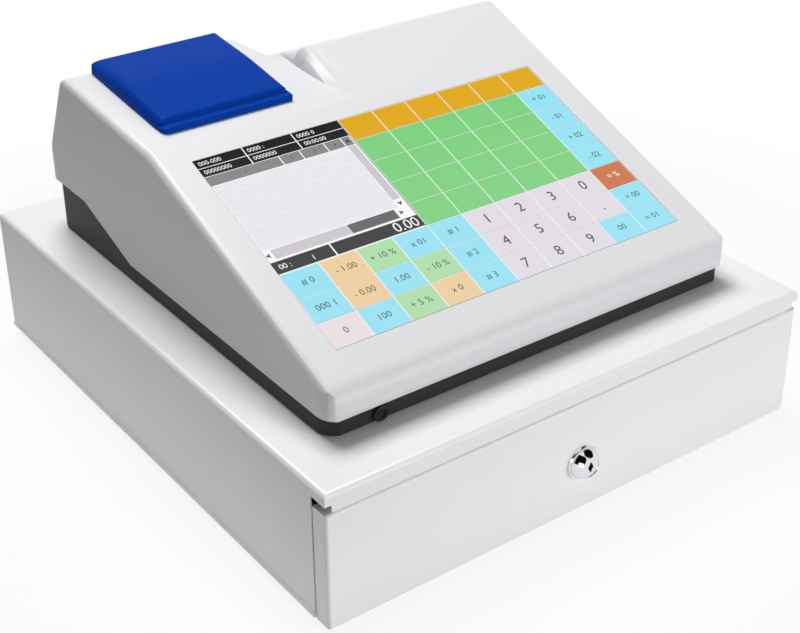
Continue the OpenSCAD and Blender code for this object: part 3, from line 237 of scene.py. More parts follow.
def lidBlue(k):
    f = Finish("lid_blue", Coat_Roughness=0.2, Specular_IOR_Level=k["gloss"])
    f.set("Base Color", mottled(f, k["colour"], 0.03, 30.0))
    f.rough(f.noise(45.0, 3.0), *k["rough"])
    f.set("Coat Weight", f.noise(18.0) * k["coat"])
    f.bump(f.noise(k["grain"]), k["depth"])
    return f.material


def zincSteel(k):
    # zinc plate: faint crystal patches and rolling lines
    f = Finish("zinc_steel", Metallic=1.0)
    crystals = f.add("TexVoronoi", dict(output="Color"), f.place(), Scale=k["crystals"])
    grey = f.blend(k["share"], k["colour"], crystals)
    f.set("Base Color", f.add("HueSaturation", None, Saturation=0.08, Color=grey))
    f.rough(f.noise(70.0, 3.0), *k["rough"])
    f.bump(f.noise(40.0, 2.0, f.place((1.0, 30.0, 30.0))), k["depth"])
    return f.material


def brightSteel(k):
    # fine brushed lines along x
    f = Finish("bright_steel", Metallic=1.0)
    lines = f.noise(28.0, 4.0, f.place(k["stretch"]))
    f.set("Base Color", f.blend(lines, shaded(k["colour"], 0.9), k["colour"]))
    f.rough(lines, *k["rough"])
    f.bump(lines, k["depth"])
    return f.material


def gearBrass(k):
    f = Finish("gear_brass", Metallic=1.0)
    f.set("Base Color", mottled(f, k["colour"], 0.08, 400.0))
    f.rough(f.noise(300.0), *k["rough"])
    f.bump(f.noise(k["grain"]), k["depth"])
    return f.material


def copperCoil(k):
    # lacquered wire wound about the x axis; the colour runs from dark to light across each turn: painted
    # shade in the grooves between turns and painted highlight on their crests
    f = Finish("copper_coil", Metallic=1.0, Coat_Weight=0.4)
    pattern = dict(bands_direction="X", output=1)
    turns = f.add("TexWave", pattern, f.place(), Scale=k["turns"], Distortion=0.2)
    # painted shade and highlight: each turn's band goes from the dark copper to the light copper
    f.set("Base Color", f.blend(turns, k["dark"], k["light"]))
    f.rough(turns, *k["rough"])
    f.bump(turns, k["depth"])
    return f.material


def boardGreen(k):
    # solder resist over copper tracks that run square to each other
    f = Finish("board_green", Coat_Weight=0.25)
    pattern = dict(output=1, offset=0.37, squash=1.6)
    tracks = f.add("TexBrick", pattern, f.place(), Scale=k["tracks"], Mortar_Size=0.0)
    f.set("Base Color", f.blend(tracks, k["dark"], k["light"]))
    f.rough(f.noise(200.0), *k["rough"])
    f.bump(tracks, k["depth"])
    return f.material


def smokeGlass(k):
    f = Finish("smoke_glass", Coat_Roughness=0.03)
    f.set("Base Color", mottled(f, k["colour"], 0.05, 20.0))
    f.rough(f.noise(30.0), *k["rough"])
    f.set("Coat Weight", f.noise(12.0) * k["coat"][1] + k["coat"][0])
    return f.material


def lockChrome(k):
    f = Finish("lock_chrome", Metallic=1.0)
    f.set("Base Color", mottled(f, k["colour"], 0.02, 200.0))
    f.rough(f.noise(500.0, 3.0), *k["rough"])
    return f.material


def paperWhite(k, axis=None):
    # thermal paper; around the roll's axis the edges of its turns show as fine rings
    f = Finish("paper_white", Specular_IOR_Level=0.25)
    fibres = f.noise(900.0, 4.0)
    colour = f.blend(fibres, k["dark"], k["light"])
    height = fibres * 0.3
    if axis:
        there = f.place(centre=(0, *axis))
        along = f.add("SeparateXYZ", dict(output=1), there)
        rise = f.add("SeparateXYZ", dict(output=2), there)
        reach = (along * along + rise * rise) ** 0.5
        rings = f.add("Math", dict(operation="SINE"), reach * k["rings"]) * 0.5 + 0.5
        height = height + rings * 0.5
        colour = f.blend(rings * 0.12, colour, k["edge"])
    f.set("Base Color", colour)
    f.rough(fibres, *k["rough"])
    f.bump(height, k["depth"])
    return f.material


finishes = {name: coated(name, **coat) for name, coat in coats.items()}
finishes.update(
    lid_blue=lidBlue(blue),
    zinc_steel=zincSteel(zinc),
    bright_steel=brightSteel(steel),
    lock_chrome=lockChrome(chrome),
    gear_brass=gearBrass(brass),
    copper_coil=copperCoil(copper),
    board_green=boardGreen(board),
    smoke_glass=smokeGlass(smoke),
    screen_glass=smokeGlass(smoke),
    paper_white=paperWhite(paper),
)


def paint(piece, material):
    piece.data.materials.clear()
    piece.data.materials.append(material)


for name, node in nodes.items():
    for place in range(max(1, len(node.material_slots))):
        if node.material_slots:
            node.material_slots[place].material = finishes[slotOf[name]]
        else:
            node.data.materials.append(finishes[slotOf[name]])
print("finishes ready:", len(finishes))


# how near points are one point and how thin faces are nothing, in metres
weld = dict(new=(1e-7, 1e-8), cad=(1e-6, 2e-6))


def welded(work, points, slivers):
    bmesh.ops.remove_doubles(work, verts=work.verts, dist=points)
    bmesh.ops.dissolve_degenerate(work, edges=work.edges, dist=slivers)


def addPiece(name, mesh, body, slot, material=None, smooth=30.0):
    piece = linked(name, mesh)
    paint(piece, material or finishes[slot])
    mesh.polygons.foreach_set("use_smooth", np.ones(len(mesh.polygons), bool))
    if smooth:
        mesh.set_sharp_from_angle(angle=radians(smooth))
    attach(piece, body)
    return piece


def meshOf(name, points, faces, merge=True):
    mesh = bpy.data.meshes.new(name)
    mesh.from_pydata(np.asarray(points, float).reshape(-1, 3).tolist(), [], np.asarray(faces).tolist())
    if merge:
        work = bmesh.new()
        work.from_mesh(mesh)
        welded(work, *weld["new"])
        bmesh.ops.recalc_face_normals(work, faces=work.faces)
        work.to_mesh(mesh)
        work.free()
    mesh.update()
    return mesh


def pointsOf(mesh):
    points = np.empty(len(mesh.vertices) * 3)
    mesh.vertices.foreach_get("co", points)
    return points.reshape(-1, 3)


def gridFaces(rows, columns, closed=False):
    # the four neighbours of each cell of a rows by columns grid numbered row by row;
    # closed joins the last column to the first
    r = np.arange(rows - 1)[:, None] * columns
    c = np.arange(columns if closed else columns - 1)[None, :]
    c2 = (c + 1) % columns
    return np.stack([r + c, r + c2, r + columns + c2, r + columns + c], -1).reshape(-1, 4)


def axes(direction):
    # three unit vectors at right angles, the last along direction
    w = np.array(direction, float) / np.linalg.norm(direction)
    u = np.cross(w, (0, 0, 1.0) if abs(w[2]) < 0.9 else (1.0, 0, 0))
    u /= np.linalg.norm(u)
    return np.stack([u, np.cross(w, u), w])


def turned(profile, start, direction, sides):
    # a lathe: each (radius, height) of the profile goes round the axis,
    # point = start + radius * (cos a, sin a) + height * axis
    angle = np.linspace(0, 2 * pi, sides, endpoint=False)
    radius, height = np.array(profile, float).T
    local = np.stack([radius[:, None] * np.cos(angle), radius[:, None] * np.sin(angle),
                      np.repeat(height[:, None], sides, 1)], -1)
    return np.array(start) + local @ axes(direction), gridFaces(len(profile), sides, closed=True)


def swept(path, radius, sides, along):
    # a round bar: at each point of the path a circle in the plane across it,
    # point = path + radius * (cos a * side + sin a * rise)
    path = np.array(path, float)
    heading = np.gradient(path, axis=0)
    heading /= np.linalg.norm(heading, axis=1, keepdims=True)
    side = np.cross(heading, np.array(along, float))
    side /= np.linalg.norm(side, axis=1, keepdims=True)
    rise = np.cross(side, heading)
    angle = np.linspace(0, 2 * pi, sides, endpoint=False)[None, :, None]
    points = path[:, None] + radius * (np.cos(angle) * side[:, None] + np.sin(angle) * rise[:, None])
    ends = [np.repeat(path[[i]], sides, 0)[None] for i in (0, -1)]
    points = np.concatenate([ends[0], points, ends[1]])
    return points, gridFaces(len(path) + 2, sides, closed=True)


def joined(parts):
    # several (points, faces) as one
    points = [np.asarray(p, float).reshape(-1, 3) for p, _ in parts]
    start = np.cumsum([0] + [len(p) for p in points[:-1]])
    return np.concatenate(points), np.concatenate([f + s for (_, f), s in zip(parts, start)])


softening = dict(
    flat=radians(0.3),          # faces that lean less than this against each other become one
    sharp=radians(35),          # edges that are broken
    shade=50.0,                 # degrees at which the shading breaks
    segments=3,
    long=4.0, short=2.2,        # in widths of the round: longer edges are long, and shorter ones short
)


def softened(nodeName, width, straight=False, name=None):
    # the CAD form merged into whole faces, its sharp edges broken by a small round;
    # straight keeps to long edges that don't end among short ones
    s = softening
    mesh = nodes[nodeName].data.copy()
    work = bmesh.new()
    work.from_mesh(mesh)
    welded(work, *weld["cad"])
    bmesh.ops.dissolve_limit(work, angle_limit=s["flat"], verts=work.verts, edges=work.edges)
    sharp = [e for e in work.edges if len(e.link_faces) == 2 and e.calc_face_angle(0.0) > s["sharp"]]
    if straight:
        short = {v for e in work.edges if e.calc_length() < s["short"] * width for v in e.verts}
        sharp = [e for e in sharp if e.calc_length() > s["long"] * width and not short.issuperset(e.verts)]
    if width:
        bmesh.ops.bevel(work, geom=sharp, offset=width, segments=s["segments"], profile=0.5,
                        affect="EDGES", clamp_overlap=False)
    work.to_mesh(mesh)
    work.free()
    if "custom_normal" in mesh.attributes:
        mesh.attributes.remove(mesh.attributes["custom_normal"])
    piece = addPiece(name or nodeName + "_form", mesh, bodyOf[nodeName], slotOf[nodeName], smooth=s["shade"])
    piece.modifiers.new("normals", "WEIGHTED_NORMAL").keep_sharp = True
    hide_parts(nodeName)
    return piece


# rounds on the pieces' edges, in millimetres
softEdges = dict(
    drawer_case=0.35, drawer_fascia=0.5, base_pan=0.3, drawer_tray=0.35, rocker_frame=0.25,
    power_rocker=0.4, case_feet=0.6, paper_bucket=0.3, note_clip_1=0.3, note_clip_2=0.3,
    note_clip_3=0.3, note_clip_4=0.3, note_clip_5=0.3, key_reader=0.15, latch_hook=0.2,
    striker=0.2, slide_rails=0.15, drawer_runners=0.15, customer_lens=0.2, print_frame=0.2,
    display_frame=0.2, main_board=0.15,
)
softStraight = dict(lower_housing=0.4, till_insert=0.45)
unsoftened = ("upper_housing", "coin_tray")
for name, width in softEdges.items():
    softened(name, width * mm)
for name, width in softStraight.items():
    softened(name, width * mm, straight=True)
for name in unsoftened:
    softened(name, 0)
print("edges softened:", len(softEdges) + len(softStraight))


lid = dict(
    edge=0.45 * mm,
    lean=radians(6.33), deck=(0, 32.1 * mm, 219.2 * mm),    # the deck that the lid lies on
    round=11 * mm, roundDrop=4.7 * mm,      # the broad round along the left side
    crease=62 * mm, rearDrop=3.1 * mm,      # the rear falls away behind the crease
    thin=1.65, slim=0.52,                   # how the skin thins there, and the knuckles with it
    hinge=5.8 * mm, top=11.4 * mm,          # heights of the hinge's axis and of the lid over the deck
    cell=5 * mm, cuts=12,                   # steps along the lid, and cuts across its round
    margin=1 * mm,                          # beside the lid, for what its hinge holds
    foot=1 * mm,                            # the knuckles go from full to slim over this height
)


def cutAcross(mesh, planes):
    # the faces divided where the planes meet them
    work = bmesh.new()
    work.from_mesh(mesh)
    for place, normal in planes:
        bmesh.ops.bisect_plane(work, geom=work.verts[:] + work.edges[:] + work.faces[:], dist=1e-6,
                               plane_co=place, plane_no=normal)
    work.to_mesh(mesh)
    work.free()


def bent(piece, b, hingeOnly=False):
    # a lid with a broad round down its left side and a lower rear: its top comes down by
    # roundDrop * (1 - sqrt(1 - a^2)) + rearDrop * c^2 (3 - 2c), where a goes from 0 to 1
    # across the round and c from 0 to 1 between the crease and the hinge; points further down
    # follow by their share of the height. What the hinge holds goes along with the rear and
    # draws in towards the axis, so that the lid turns clear of it
    mesh = piece.data
    lo, hi = (np.array(corner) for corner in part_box("printer_lid"))
    along = np.array([0, cos(b["lean"]), sin(b["lean"])])
    upward = np.array([0, -sin(b["lean"]), cos(b["lean"])])
    deck = np.array(b["deck"])
    rear = (hi - deck) @ along
    if not hingeOnly:
        across = lo[0] + b["round"] * (1 - np.cos(np.linspace(0.05, 0.5, b["cuts"]) * pi))
        planes = [((x, 0, 0), (1, 0, 0)) for x in across]
        cutAcross(mesh, planes + [(deck + along * u, along) for u in np.arange(0, rear, b["cell"])])
    points = pointsOf(mesh)
    height, length = (points - deck) @ upward, (points - deck) @ along
    a = np.clip(1 - (points[:, 0] - lo[0]) / b["round"], 0, 1)
    c = np.clip((length - b["crease"]) / (rear - b["crease"]), 0, 1)
    sideShare = np.clip(height / b["top"], 0, 1)
    rearShare = np.clip((height - b["hinge"]) / (b["top"] - b["hinge"]), 0, 1) ** b["thin"]
    drop = b["roundDrop"] * (1 - np.sqrt(1 - a * a)) * sideShare
    drop += b["rearDrop"] * c * c * (3 - 2 * c) * rearShare
    if hingeOnly:
        inside = (points[:, 0] > lo[0] - b["margin"]) & (points[:, 0] < hi[0] + b["margin"])
        held = inside & (length > b["crease"])
        away = length - (np.mean(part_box("hinge_rod"), axis=0) - deck) @ along
        slim = b["slim"] * np.clip(height / b["foot"], 0, 1) * (held & (np.abs(away) < b["hinge"]))
        points -= (away * slim)[:, None] * along
        drop *= held
    points -= drop[:, None] * upward
    mesh.vertices.foreach_set("co", points.ravel())
    mesh.set_sharp_from_angle(angle=radians(softening["shade"]))
    mesh.update()


bent(softened("printer_lid", lid["edge"], straight=True), lid)
bent(bpy.data.objects["upper_housing_form"], lid, hingeOnly=True)
bent(softened("hinge_rod", 0), lid, hingeOnly=True)
print("lid bent")


# in millimetres
crestEnd = dict(
    left=-13.0, right=5.0, corner=2.0,                      # across the register
    ridge=(80.0, 238.05), rear=(110.4, 228.0), foot=175.0,  # along and up
    round=(16.0, 3.0), lift=1.4,                            # of the left side, from ridge to rear
    steps=(16, 24, 6),                                      # along, round the left and round the right
)


def crestForm(c):
    # the left end of the crest behind its ridge, down to the deck's rear edge: at each y a profile
    # whose left is rounded like the crest, x = left + r (1 - cos a), z = top + lift - r (1 - sin a) but
    # no higher than top; top falls in a line from the ridge to the rear, and r and lift shrink with it
    t = np.linspace(0, 1, c["steps"][0])[:, None]
    y, top = (c["ridge"][i] + (c["rear"][i] - c["ridge"][i]) * t for i in (0, 1))
    radius, lift = c["round"][0] + (c["round"][1] - c["round"][0]) * t, c["lift"] * (1 - t)
    a, b = np.linspace(0, pi / 2, c["steps"][1]), np.linspace(pi / 2, 0, c["steps"][2])
    x = np.hstack([c["left"] + 0 * t, c["left"] + radius * (1 - np.cos(a)),
                   c["right"] - c["corner"] * (1 - np.cos(b)) + 0 * t, c["right"] + 0 * t])
    z = np.hstack([c["foot"] + 0 * t, np.minimum(top, top + lift - radius * (1 - np.sin(a))),
                   top - c["corner"] * (1 - np.sin(b)), c["foot"] + 0 * t])
    rows = np.stack([x, np.broadcast_to(y, x.shape), z], -1)
    middle = np.array([(c["left"] + c["right"]) / 2, c["rear"][0], c["foot"]])
    rows = np.concatenate([rows, np.broadcast_to(middle, (1, *rows.shape[1:]))])
    addPiece("crest_end", meshOf("crest_end", rows * mm, gridFaces(*rows.shape[:2])),
             bodyOf["upper_housing"], slotOf["upper_housing"], smooth=35.0)


crestForm(crestEnd)


def instead(nodeName, name, shape, material=None, smooth=40.0):
    # a new form, as (points, faces), in a node's place
    piece = addPiece(name, meshOf(name, *shape), bodyOf[nodeName], slotOf[nodeName], material, smooth)
    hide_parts(nodeName)


ejector = dict(wire=0.6 * mm, turns=9, steps=20, sides=10)


def springForm(e):
    # the drawer's push spring: a wire on a helix round the post,
    # point = axis + radius * (sin a, -, cos a), moving along y by the same step for each degree
    lo, hi = (np.array(corner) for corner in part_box("ejector_spring"))
    middle, radius = (lo + hi) / 2, (hi[0] - lo[0]) / 2 - e["wire"]
    angle = np.linspace(0, 2 * pi * e["turns"], e["turns"] * e["steps"] + 1)
    away = np.linspace(lo[1] + e["wire"], hi[1] - e["wire"], len(angle))
    path = np.stack([middle[0] + radius * np.sin(angle), away, middle[2] + radius * np.cos(angle)], 1)
    instead("ejector_spring", "spring_wire", swept(path, e["wire"], e["sides"], (0, 1, 0)), smooth=60.0)


paperRoll = dict(core=6.4 * mm, rim=0.6 * mm, steps=5, sides=96)


def rollForm(p):
    # a lathed ring with softly rounded rims, its turns drawn by the finish
    lo, hi = (np.array(corner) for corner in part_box("paper_roll"))
    centre, width, rim = (lo + hi) / 2, hi[0] - lo[0], p["rim"]
    flat = (hi[2] - lo[2]) / 2 - rim
    arc = np.linspace(0, pi / 2, p["steps"])
    outer = [(flat + rim * np.sin(a), rim - rim * np.cos(a)) for a in arc]
    outer += [(flat + rim * np.cos(a), width - rim + rim * np.sin(a)) for a in arc]
    profile = [(p["core"], 0.0), *outer, (p["core"], width), (p["core"], 0.0)]
    shape = turned(profile, (lo[0], centre[1], centre[2]), (1, 0, 0), p["sides"])
    instead("paper_roll", "roll_form", shape, paperWhite(paper, tuple(centre[1:])))


lockShape = dict(
    bore=7.06 * mm, shaft=3.0 * mm,         # the plug's hole, and how far the shaft keeps inside the flange
    flange=1.5 * mm, lip=0.5 * mm,          # its thickness and the slant of its edge
    face=8.3 * mm, swell=0.35 * mm,         # radius at the front, and how far the cone swells
    steps=9, sides=96,
)


def lockForm(k):
    # the lock's collar: a lathed flange, and a cone swelled by swell * sin(pi t) that closes in on the face
    lo, hi = (np.array(corner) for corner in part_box("lock_barrel"))
    middle, front = (lo + hi) / 2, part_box("drawer_fascia")[0][1]
    rim, proud, back = (hi[0] - lo[0]) / 2, front - lo[1], front - hi[1]
    shaft, lip, flange = rim - k["shaft"], k["lip"], k["flange"]
    t = np.linspace(0, 1, k["steps"])
    radius = rim - 2 * lip + (k["face"] - rim + 2 * lip) * t + k["swell"] * np.sin(pi * t)
    cone = zip(radius, 2 * flange + (proud - lip - 2 * flange) * t)
    profile = [(k["bore"], back), (shaft, back), (shaft, 0), (rim, 0), (rim, flange - lip),
               (rim - lip, flange), (rim - 2 * lip, flange), *cone,
               (k["face"] - lip, proud), (k["bore"], proud), (k["bore"], back)]
    shape = turned(profile, (middle[0], front, middle[2]), (0, -1, 0), k["sides"])
    instead("lock_barrel", "lock_collar", shape, smooth=35.0)


springForm(ejector)
rollForm(paperRoll)
lockForm(lockShape)
print("small parts made")


screen = dict(
    columns=10, rows=8,
    edge=0.25 * mm,             # round of the plate's edges
    lift=0.02 * mm,             # each layer of the picture over the last
    rim=0.5 * mm,               # pale line round a key
    line=0.28 * mm,             # dark line under a key
    capShare=0.7,               # of the font's size that a figure is high
    glow=0.62, shine=0.40,      # shares of the colour that glow and that reflect
)
figureHeights = dict(digit=8.4 * mm, label=4.96 * mm, total=8.2 * mm, top=3.6 * mm, foot=4.2 * mm,
                     head=2.6 * mm)
inks = dict(
    o=tint(224, 168, 0), g=tint(122, 208, 124), c=tint(146, 226, 245), b=tint(240, 205, 155),
    l=tint(172, 222, 168), n=tint(226, 219, 228), p=tint(235, 222, 224), r=tint(205, 105, 45),
    black=tint(6, 6, 7), white=tint(250, 250, 250), head=tint(138, 134, 136), bar=tint(204, 198, 204),
    list=tint(233, 233, 238), rule=tint(221, 221, 227), thumb=tint(92, 90, 94), ink=tint(38, 40, 44),
    teal=tint(30, 62, 70),
)
# the ink of each key, row by row; a dot is under the list
keyRows = ["....oooooo", "....gggggc", "....gggggc", "....gggggc", "....gggggc",
           "cblccnnnnr", "cbclcnnnnc", "pclbcnnncc"]
# what stands on the keys, by column and row: figures and signs only
digits = {(5, 5): "1", (6, 5): "2", (7, 5): "3", (8, 5): "0", (5, 6): "4", (6, 6): "5", (7, 6): "6",
          (8, 6): ".", (5, 7): "7", (6, 7): "8", (7, 7): "9"}
labels = {(9, 1): "+ 01", (9, 2): "- 01", (9, 3): "+ 02", (9, 4): "- 02", (9, 6): "= 00",
          (9, 7): "= 01", (8, 7): "00", (0, 5): "# 0", (1, 5): "- 1.00", (2, 5): "+ 10 %", (3, 5): "x 01",
          (4, 5): "# 1", (0, 6): "000 1", (1, 6): "- 0.00", (2, 6): "1.00", (3, 6): "- 10 %", (4, 6): "# 2",
          (0, 7): "0", (1, 7): "100", (2, 7): "+ 5 %", (3, 7): "x 0", (4, 7): "# 3"}
paleLabels = {(9, 5): "= %"}
# figures in the list, as (text, across, down) in columns and rows of keys
totals = [("0.00", 3.9, 4.74)]
topLines = [("000-000", 0.08, 0.19), ("0000 :", 1.38, 0.19), ("0000 0", 2.74, 0.19),
            ("00000000", 0.08, 0.56), ("0000000", 1.38, 0.56), ("00:00:00", 2.78, 0.56)]
footLines = [("00 :", 0.12, 4.74), ("1", 0.95, 4.78)]
columnHeads = [("1", 1.0, 0.95), ("2", 2.25, 0.95), ("3", 2.88, 0.95), ("4", 3.46, 0.95)]
# the list's page, boxes and rules, as (left, top, right, bottom, ink) in columns and rows of keys:
# two black lines, a grey heading, the rows, two scroll bars and the total
listPage = [(0, 0, 3.97, 5, "white")]
listBoxes = [
    *((left, top, right, bottom, "black") for top, bottom in ((0.0, 0.355), (0.38, 0.73))
      for left, right in ((0.0, 1.28), (1.31, 2.64), (2.67, 3.97))),
    *((left, 0.75, right, 1.14, "head")
      for left, right in ((0, 1.95), (1.98, 2.51), (2.54, 3.2), (3.23, 3.68), (3.71, 3.94))),
    (0.025, 1.17, 3.70, 4.02, "list"),
    (3.72, 1.17, 3.93, 3.70, "bar"), (3.72, 3.74, 3.93, 4.00, "white"),
    (0.0, 4.05, 0.18, 4.42, "white"), (0.2, 4.05, 2.25, 4.42, "bar"),
    (2.25, 4.05, 3.55, 4.42, "thumb"), (3.58, 4.05, 3.75, 4.42, "white"),
    (0, 4.50, 1.52, 4.97, "black"), (1.56, 4.50, 3.97, 4.97, "black"),
]
listRules = [(0.025, 1.42 + 0.26 * i, 3.69, 1.44 + 0.26 * i, "rule") for i in range(10)]
arrows = dict(
    spots=((3.825, 0.95, 0), (3.825, 3.87, 2), (0.09, 4.235, 3), (3.665, 4.235, 1)),   # and quarter turns
    corners=((0, 0.085), (2.2, 0.085), (pi, 0.02), (-2.2, 0.085)),      # angle from the point, and reach
    stretch=1.3,
)


def platePose(nodeName):
    # middle, unit vectors along x, up the slope and outwards, and size of a leaning plate
    points = np.unique(np.round(pointsOf(nodes[nodeName].data), 6), axis=0)
    middle = points.mean(0)
    slope = np.linalg.svd((points - middle)[:, 1:])[2][0]
    slope *= np.sign(slope[0])
    up = np.array([0.0, *slope])
    out = np.array([0.0, -slope[1], slope[0]])
    side = np.array([1.0, 0, 0])
    size = [np.ptp(points @ v) for v in (side, up, out)]
    return middle, side, up, out, size


glass = platePose("touch_glass")


def onGlass(across, down, level):
    # a place on the screen: columns and rows of keys from its top left corner,
    # and the layer it lies in
    middle, side, up, out, size = glass
    across, down = np.broadcast_arrays(np.asarray(across, float), np.asarray(down, float))
    right, rise = across / screen["columns"] - 0.5, 0.5 - down / screen["rows"]
    flat = middle + out * (size[2] / 2 + level * screen["lift"])
    return flat + right[..., None] * size[0] * side + rise[..., None] * size[1] * up


def litFinish():
    # a lit picture: the colour comes from the faces, paler towards the near edge
    f = Finish("screen_picture", Specular_IOR_Level=0.06, Coat_Roughness=0.08, Coat_Weight=0.01,
               Emission_Strength=1.0, Roughness=0.25)
    colour = f.add("Attribute", dict(attribute_name="ink", output=0))
    middle, _, up, _, size = glass
    rise = f.add("SeparateXYZ", dict(output=1), f.place(centre=tuple(middle)))
    near = 0.5 - rise / float(size[1] * up[1])
    grain = f.noise(2600.0, 1.0)
    washed = f.blend(near * 0.10 + grain * 0.01, colour, inks["white"])
    glow, shine = ((screen[share],) * 3 + (1.0,) for share in ("glow", "shine"))
    f.set("Base Color", f.blend(1.0, washed, shine, "MULTIPLY"))
    f.set("Emission Color", f.blend(1.0, washed, glow, "MULTIPLY"))
    return f.material


litScreen = litFinish()


def inked(name, points, faces, colours):
    # a piece of the picture with one colour for each face
    mesh = meshOf(name, points, faces, merge=False)
    attribute = mesh.color_attributes.new("ink", "FLOAT_COLOR", "CORNER")
    perCorner = np.repeat(np.array(colours, float), faces.shape[1], axis=0)
    attribute.data.foreach_set("color", perCorner.ravel())
    addPiece(name, mesh, "register", "screen_glass", litScreen, smooth=None)


def screenPlate():
    # the glass itself: a plate with its edges broken, grey round the picture
    plate = softened("touch_glass", screen["edge"], name="touch_plate")
    f = Finish("glass_edge", Coat_Weight=0.3)
    f.set("Base Color", mottled(f, tint(150, 152, 156), 0.05, 40.0))
    f.rough(f.noise(80.0), 0.15, 0.06)
    paint(plate, f.material)


def screenKeys():
    # each key is a grid of three by three faces: a pale rim, a dark line below and the key's ink between
    s = screen
    width, height = glass[4][0] / s["columns"], glass[4][1] / s["rows"]
    spots = [(c, r, kind) for r, row in enumerate(keyRows) for c, kind in enumerate(row) if kind != "."]
    columns, rows = np.array([p[0] for p in spots], float), np.array([p[1] for p in spots], float)
    cutX = np.array([0, s["rim"] / width, 1 - s["rim"] / width, 1])
    cutY = np.array([0, s["rim"] / height, 1 - s["line"] / height, 1])
    across, down = columns[:, None, None] + cutX[None, None, :], rows[:, None, None] + cutY[None, :, None]
    points = onGlass(across, down, 1)
    one = gridFaces(4, 4)[:, ::-1]
    faces = (one[None] + 16 * np.arange(len(spots))[:, None, None]).reshape(-1, 4)
    plain = np.array([inks[p[2]] for p in spots])
    pale = plain * 0.35 + 0.62
    dark = plain * 0.5
    colours = np.repeat(pale[:, None], 9, axis=1)
    colours[:, 4] = plain
    colours[:, 6:9] = dark[:, None]
    colours[..., 3] = 1
    inked("screen_keys", points, faces, colours.reshape(-1, 4))


def patches(boxes, level):
    # flat rectangles in one layer of the picture
    b = np.array([box[:4] for box in boxes], float)
    return onGlass(b[:, [0, 2, 2, 0]], b[:, [3, 3, 1, 1]], level), np.arange(len(b) * 4).reshape(-1, 4)


def screenList():
    layers = (listPage, listBoxes, listRules)
    parts = [patches(boxes, level) for level, boxes in enumerate(layers, 1)]
    inked("screen_list", *joined(parts), [inks[box[4]] for boxes in layers for box in boxes])


def screenArrows(a):
    # arrows at the ends of the bars: each corner stands off by reach * (sin, cos) of its angle
    # and the arrow's turn
    angles, reach = np.array(a["corners"]).T
    parts = []
    for x, y, quarters in a["spots"]:
        angle = quarters * pi / 2 + angles
        corners = onGlass(x + reach * np.sin(angle), y - reach * a["stretch"] * np.cos(angle), 3)
        parts.append((corners, np.arange(4)[::-1][None]))
    inked("screen_arrows", *joined(parts), [inks["ink"]] * len(parts))


def figureShape(figures, height, align):
    # the flat outline of some figures, as points and triangles
    curve = bpy.data.curves.new("figure", "FONT")
    curve.body, curve.size = figures, height / screen["capShare"]
    curve.align_x, curve.align_y = align, "CENTER"
    curve.resolution_u = 4
    holder = linked("figure", curve)
    bpy.context.view_layer.update()
    flat = bpy.data.meshes.new_from_object(holder.evaluated_get(bpy.context.evaluated_depsgraph_get()))
    bpy.data.objects.remove(holder)
    flat.calc_loop_triangles()
    corners = np.zeros(len(flat.loop_triangles) * 3, np.int32)
    flat.loop_triangles.foreach_get("vertices", corners)
    return pointsOf(flat), corners.reshape(-1, 3)


def writing(name, ink, *groups):
    # figures laid flat on the screen; a group is (a kind of height, where its texts start, texts)
    side, up = glass[1:3]
    parts = []
    for kind, align, texts in groups:
        for figures, across, down in texts:
            flat, faces = figureShape(figures, figureHeights[kind], align)
            parts.append((onGlass(across, down, 4) + flat[:, :1] * side + flat[:, 1:2] * up, faces))
    points, faces = joined(parts)
    inked(name, points, faces, [inks[ink]] * len(faces))


def onKeys(texts):
    # each text in the middle of its key
    return [(text, column + 0.5, row + 0.5) for (column, row), text in texts.items()]


screenPlate()
screenKeys()
screenList()
screenArrows(arrows)
writing("screen_digits", "ink", ("digit", "CENTER", onKeys(digits)))
writing("screen_labels", "teal", ("label", "CENTER", onKeys(labels)))
writing("screen_white", "white", ("label", "CENTER", onKeys(paleLabels)), ("total", "RIGHT", totals),
        ("top", "LEFT", topLines), ("foot", "LEFT", footLines))
writing("screen_heads", "ink", ("head", "CENTER", columnHeads))
print("screen drawn")


studio = dict(
    ambient=0.07,                   # world light on the object, 1 is white
    floorNear=0.88, floorFar=0.12,  # how pale the floor is under the object and far from it
    nearEnd=0.28, farStart=0.62,    # distances from the middle between which it changes, metres
    floorGlow=0.88,                 # share of the floor near the object that stays white in shade
    floorSize=12.0,
    lamps=dict(                     # place, size, power and colour
        key=((0.75, -1.75, 0.45), 0.9, 18.0, (0.96, 0.98, 1.0)),
        top=((0.0, 0.8, 2.2), 1.1, 44.5, (1.0, 1.0, 1.0)),
        fill=((-0.75, -0.85, 0.25), 0.4, 1.2, (1.0, 0.99, 0.94)),
    ),
    aim=(0, 0, 0.1),                # where the lamps point
    cards=[((-0.66, -0.42, 0.62), 2.0, 2.4),    # direction from the lock, distance and size
           ((0.50, -0.28, 0.80), 2.0, 1.9)],
)


def aimed(holder, place, target):
    holder.location = place
    holder.rotation_euler = (Vector(target) - Vector(place)).to_track_quat("-Z", "Y").to_euler()


def square(name, size):
    half = size / 2
    corners = [(-half, -half, 0), (half, -half, 0), (half, half, 0), (-half, half, 0)]
    return meshOf(name, corners, [(0, 1, 2, 3)], merge=False)


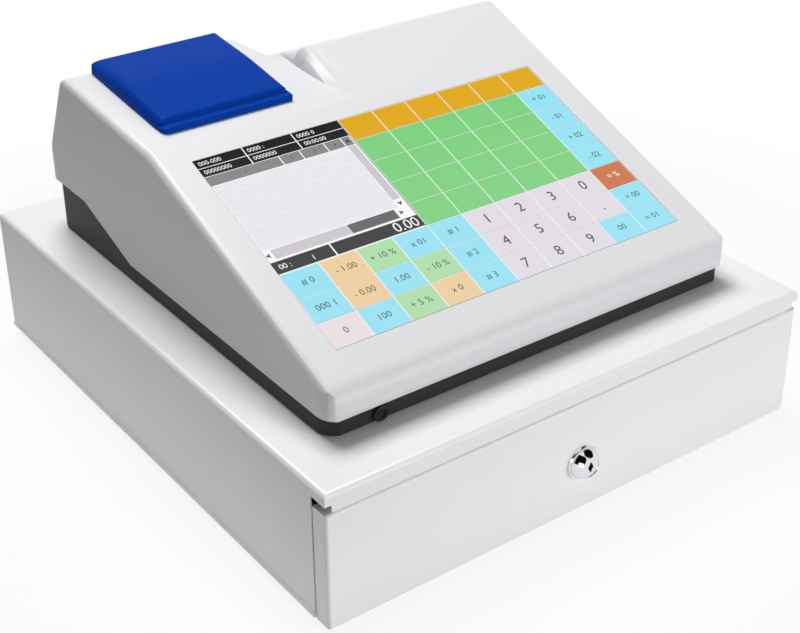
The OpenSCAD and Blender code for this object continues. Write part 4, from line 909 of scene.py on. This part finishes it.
def makeWorld(s):
    # the world is white to the eye and in reflections, and dimmer as a light
    world = bpy.data.worlds.new("studio")
    bpy.context.scene.world = world
    world.use_nodes = True
    tree = world.node_tree
    back = tree.nodes["Background"]
    path = tree.nodes.new("ShaderNodeLightPath")
    seen = path.outputs["Is Camera Ray"]
    for output in ("Is Glossy Ray", "Is Transmission Ray"):
        either = tree.nodes.new("ShaderNodeMath")
        either.operation = "MAXIMUM"
        tree.links.new(seen, either.inputs[0])
        tree.links.new(path.outputs[output], either.inputs[1])
        seen = either.outputs[0]
    strength = tree.nodes.new("ShaderNodeMapRange")
    strength.inputs["To Min"].default_value = s["ambient"]
    strength.inputs["To Max"].default_value = 1.0
    tree.links.new(seen, strength.inputs["Value"])
    tree.links.new(strength.outputs[0], back.inputs["Strength"])
    back.inputs["Color"].default_value = (1.0, 1.0, 1.0, 1.0)


def makeFloor(s):
    # white to the eye near the object, where only its shadow shades it
    floor = linked("floor", square("floor", s["floorSize"]))
    f = Finish("floor_white", Specular_IOR_Level=0.0)
    reach = f.add("VectorMath", dict(operation="LENGTH", output="Value"), f.place())
    away = f.add("MapRange", dict(interpolation_type="SMOOTHSTEP"), reach, s["nearEnd"], s["farStart"])
    near, far = ((v, v, v, 1.0) for v in (s["floorNear"], s["floorFar"]))
    f.set("Base Color", f.blend(away, near, far))
    f.rough(f.noise(0.8), 0.90, 0.1)
    glow = f.tree.nodes.new("ShaderNodeEmission")
    mixed = f.tree.nodes.new("ShaderNodeMixShader")
    light = f.add("LightPath", dict(output="Is Camera Ray"))
    shiny = f.add("LightPath", dict(output="Is Glossy Ray"))
    glowing = away * (1 - s["floorGlow"]) + s["floorGlow"]
    f.feed(mixed.inputs[0], (light + shiny) * glowing)
    f.tree.links.new(f.shader.outputs[0], mixed.inputs[1])
    f.tree.links.new(glow.outputs[0], mixed.inputs[2])
    f.tree.links.new(mixed.outputs[0], f.end.inputs["Surface"])
    floor.data.materials.append(f.material)


def makeCards(s):
    # black cards that only show as reflections in the bright lock
    lo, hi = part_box("lock_barrel")
    lock = (Vector(lo) + Vector(hi)) / 2
    f = Finish("card_black", Specular_IOR_Level=0.0)
    f.set("Base Color", mottled(f, tint(14, 14, 15), 0.05, 4.0))
    f.rough(f.noise(3.0), 0.925, 0.05)
    for place, (direction, distance, size) in enumerate(s["cards"]):
        card = linked("card_%d" % place, square("card", size))
        aimed(card, lock + Vector(direction).normalized() * distance, lock)
        card.visible_camera = card.visible_diffuse = card.visible_shadow = False
        card.visible_transmission = card.visible_volume_scatter = False
        card.data.materials.append(f.material)


def makeLamps(s):
    for name, (place, size, power, colour) in s["lamps"].items():
        lamp = bpy.data.lights.new(name, "AREA")
        lamp.shape, lamp.size, lamp.energy, lamp.color = "SQUARE", size, power, colour
        aimed(linked(name, lamp), place, s["aim"])


makeWorld(studio)
makeFloor(studio)
makeCards(studio)
makeLamps(studio)
print("stage set")
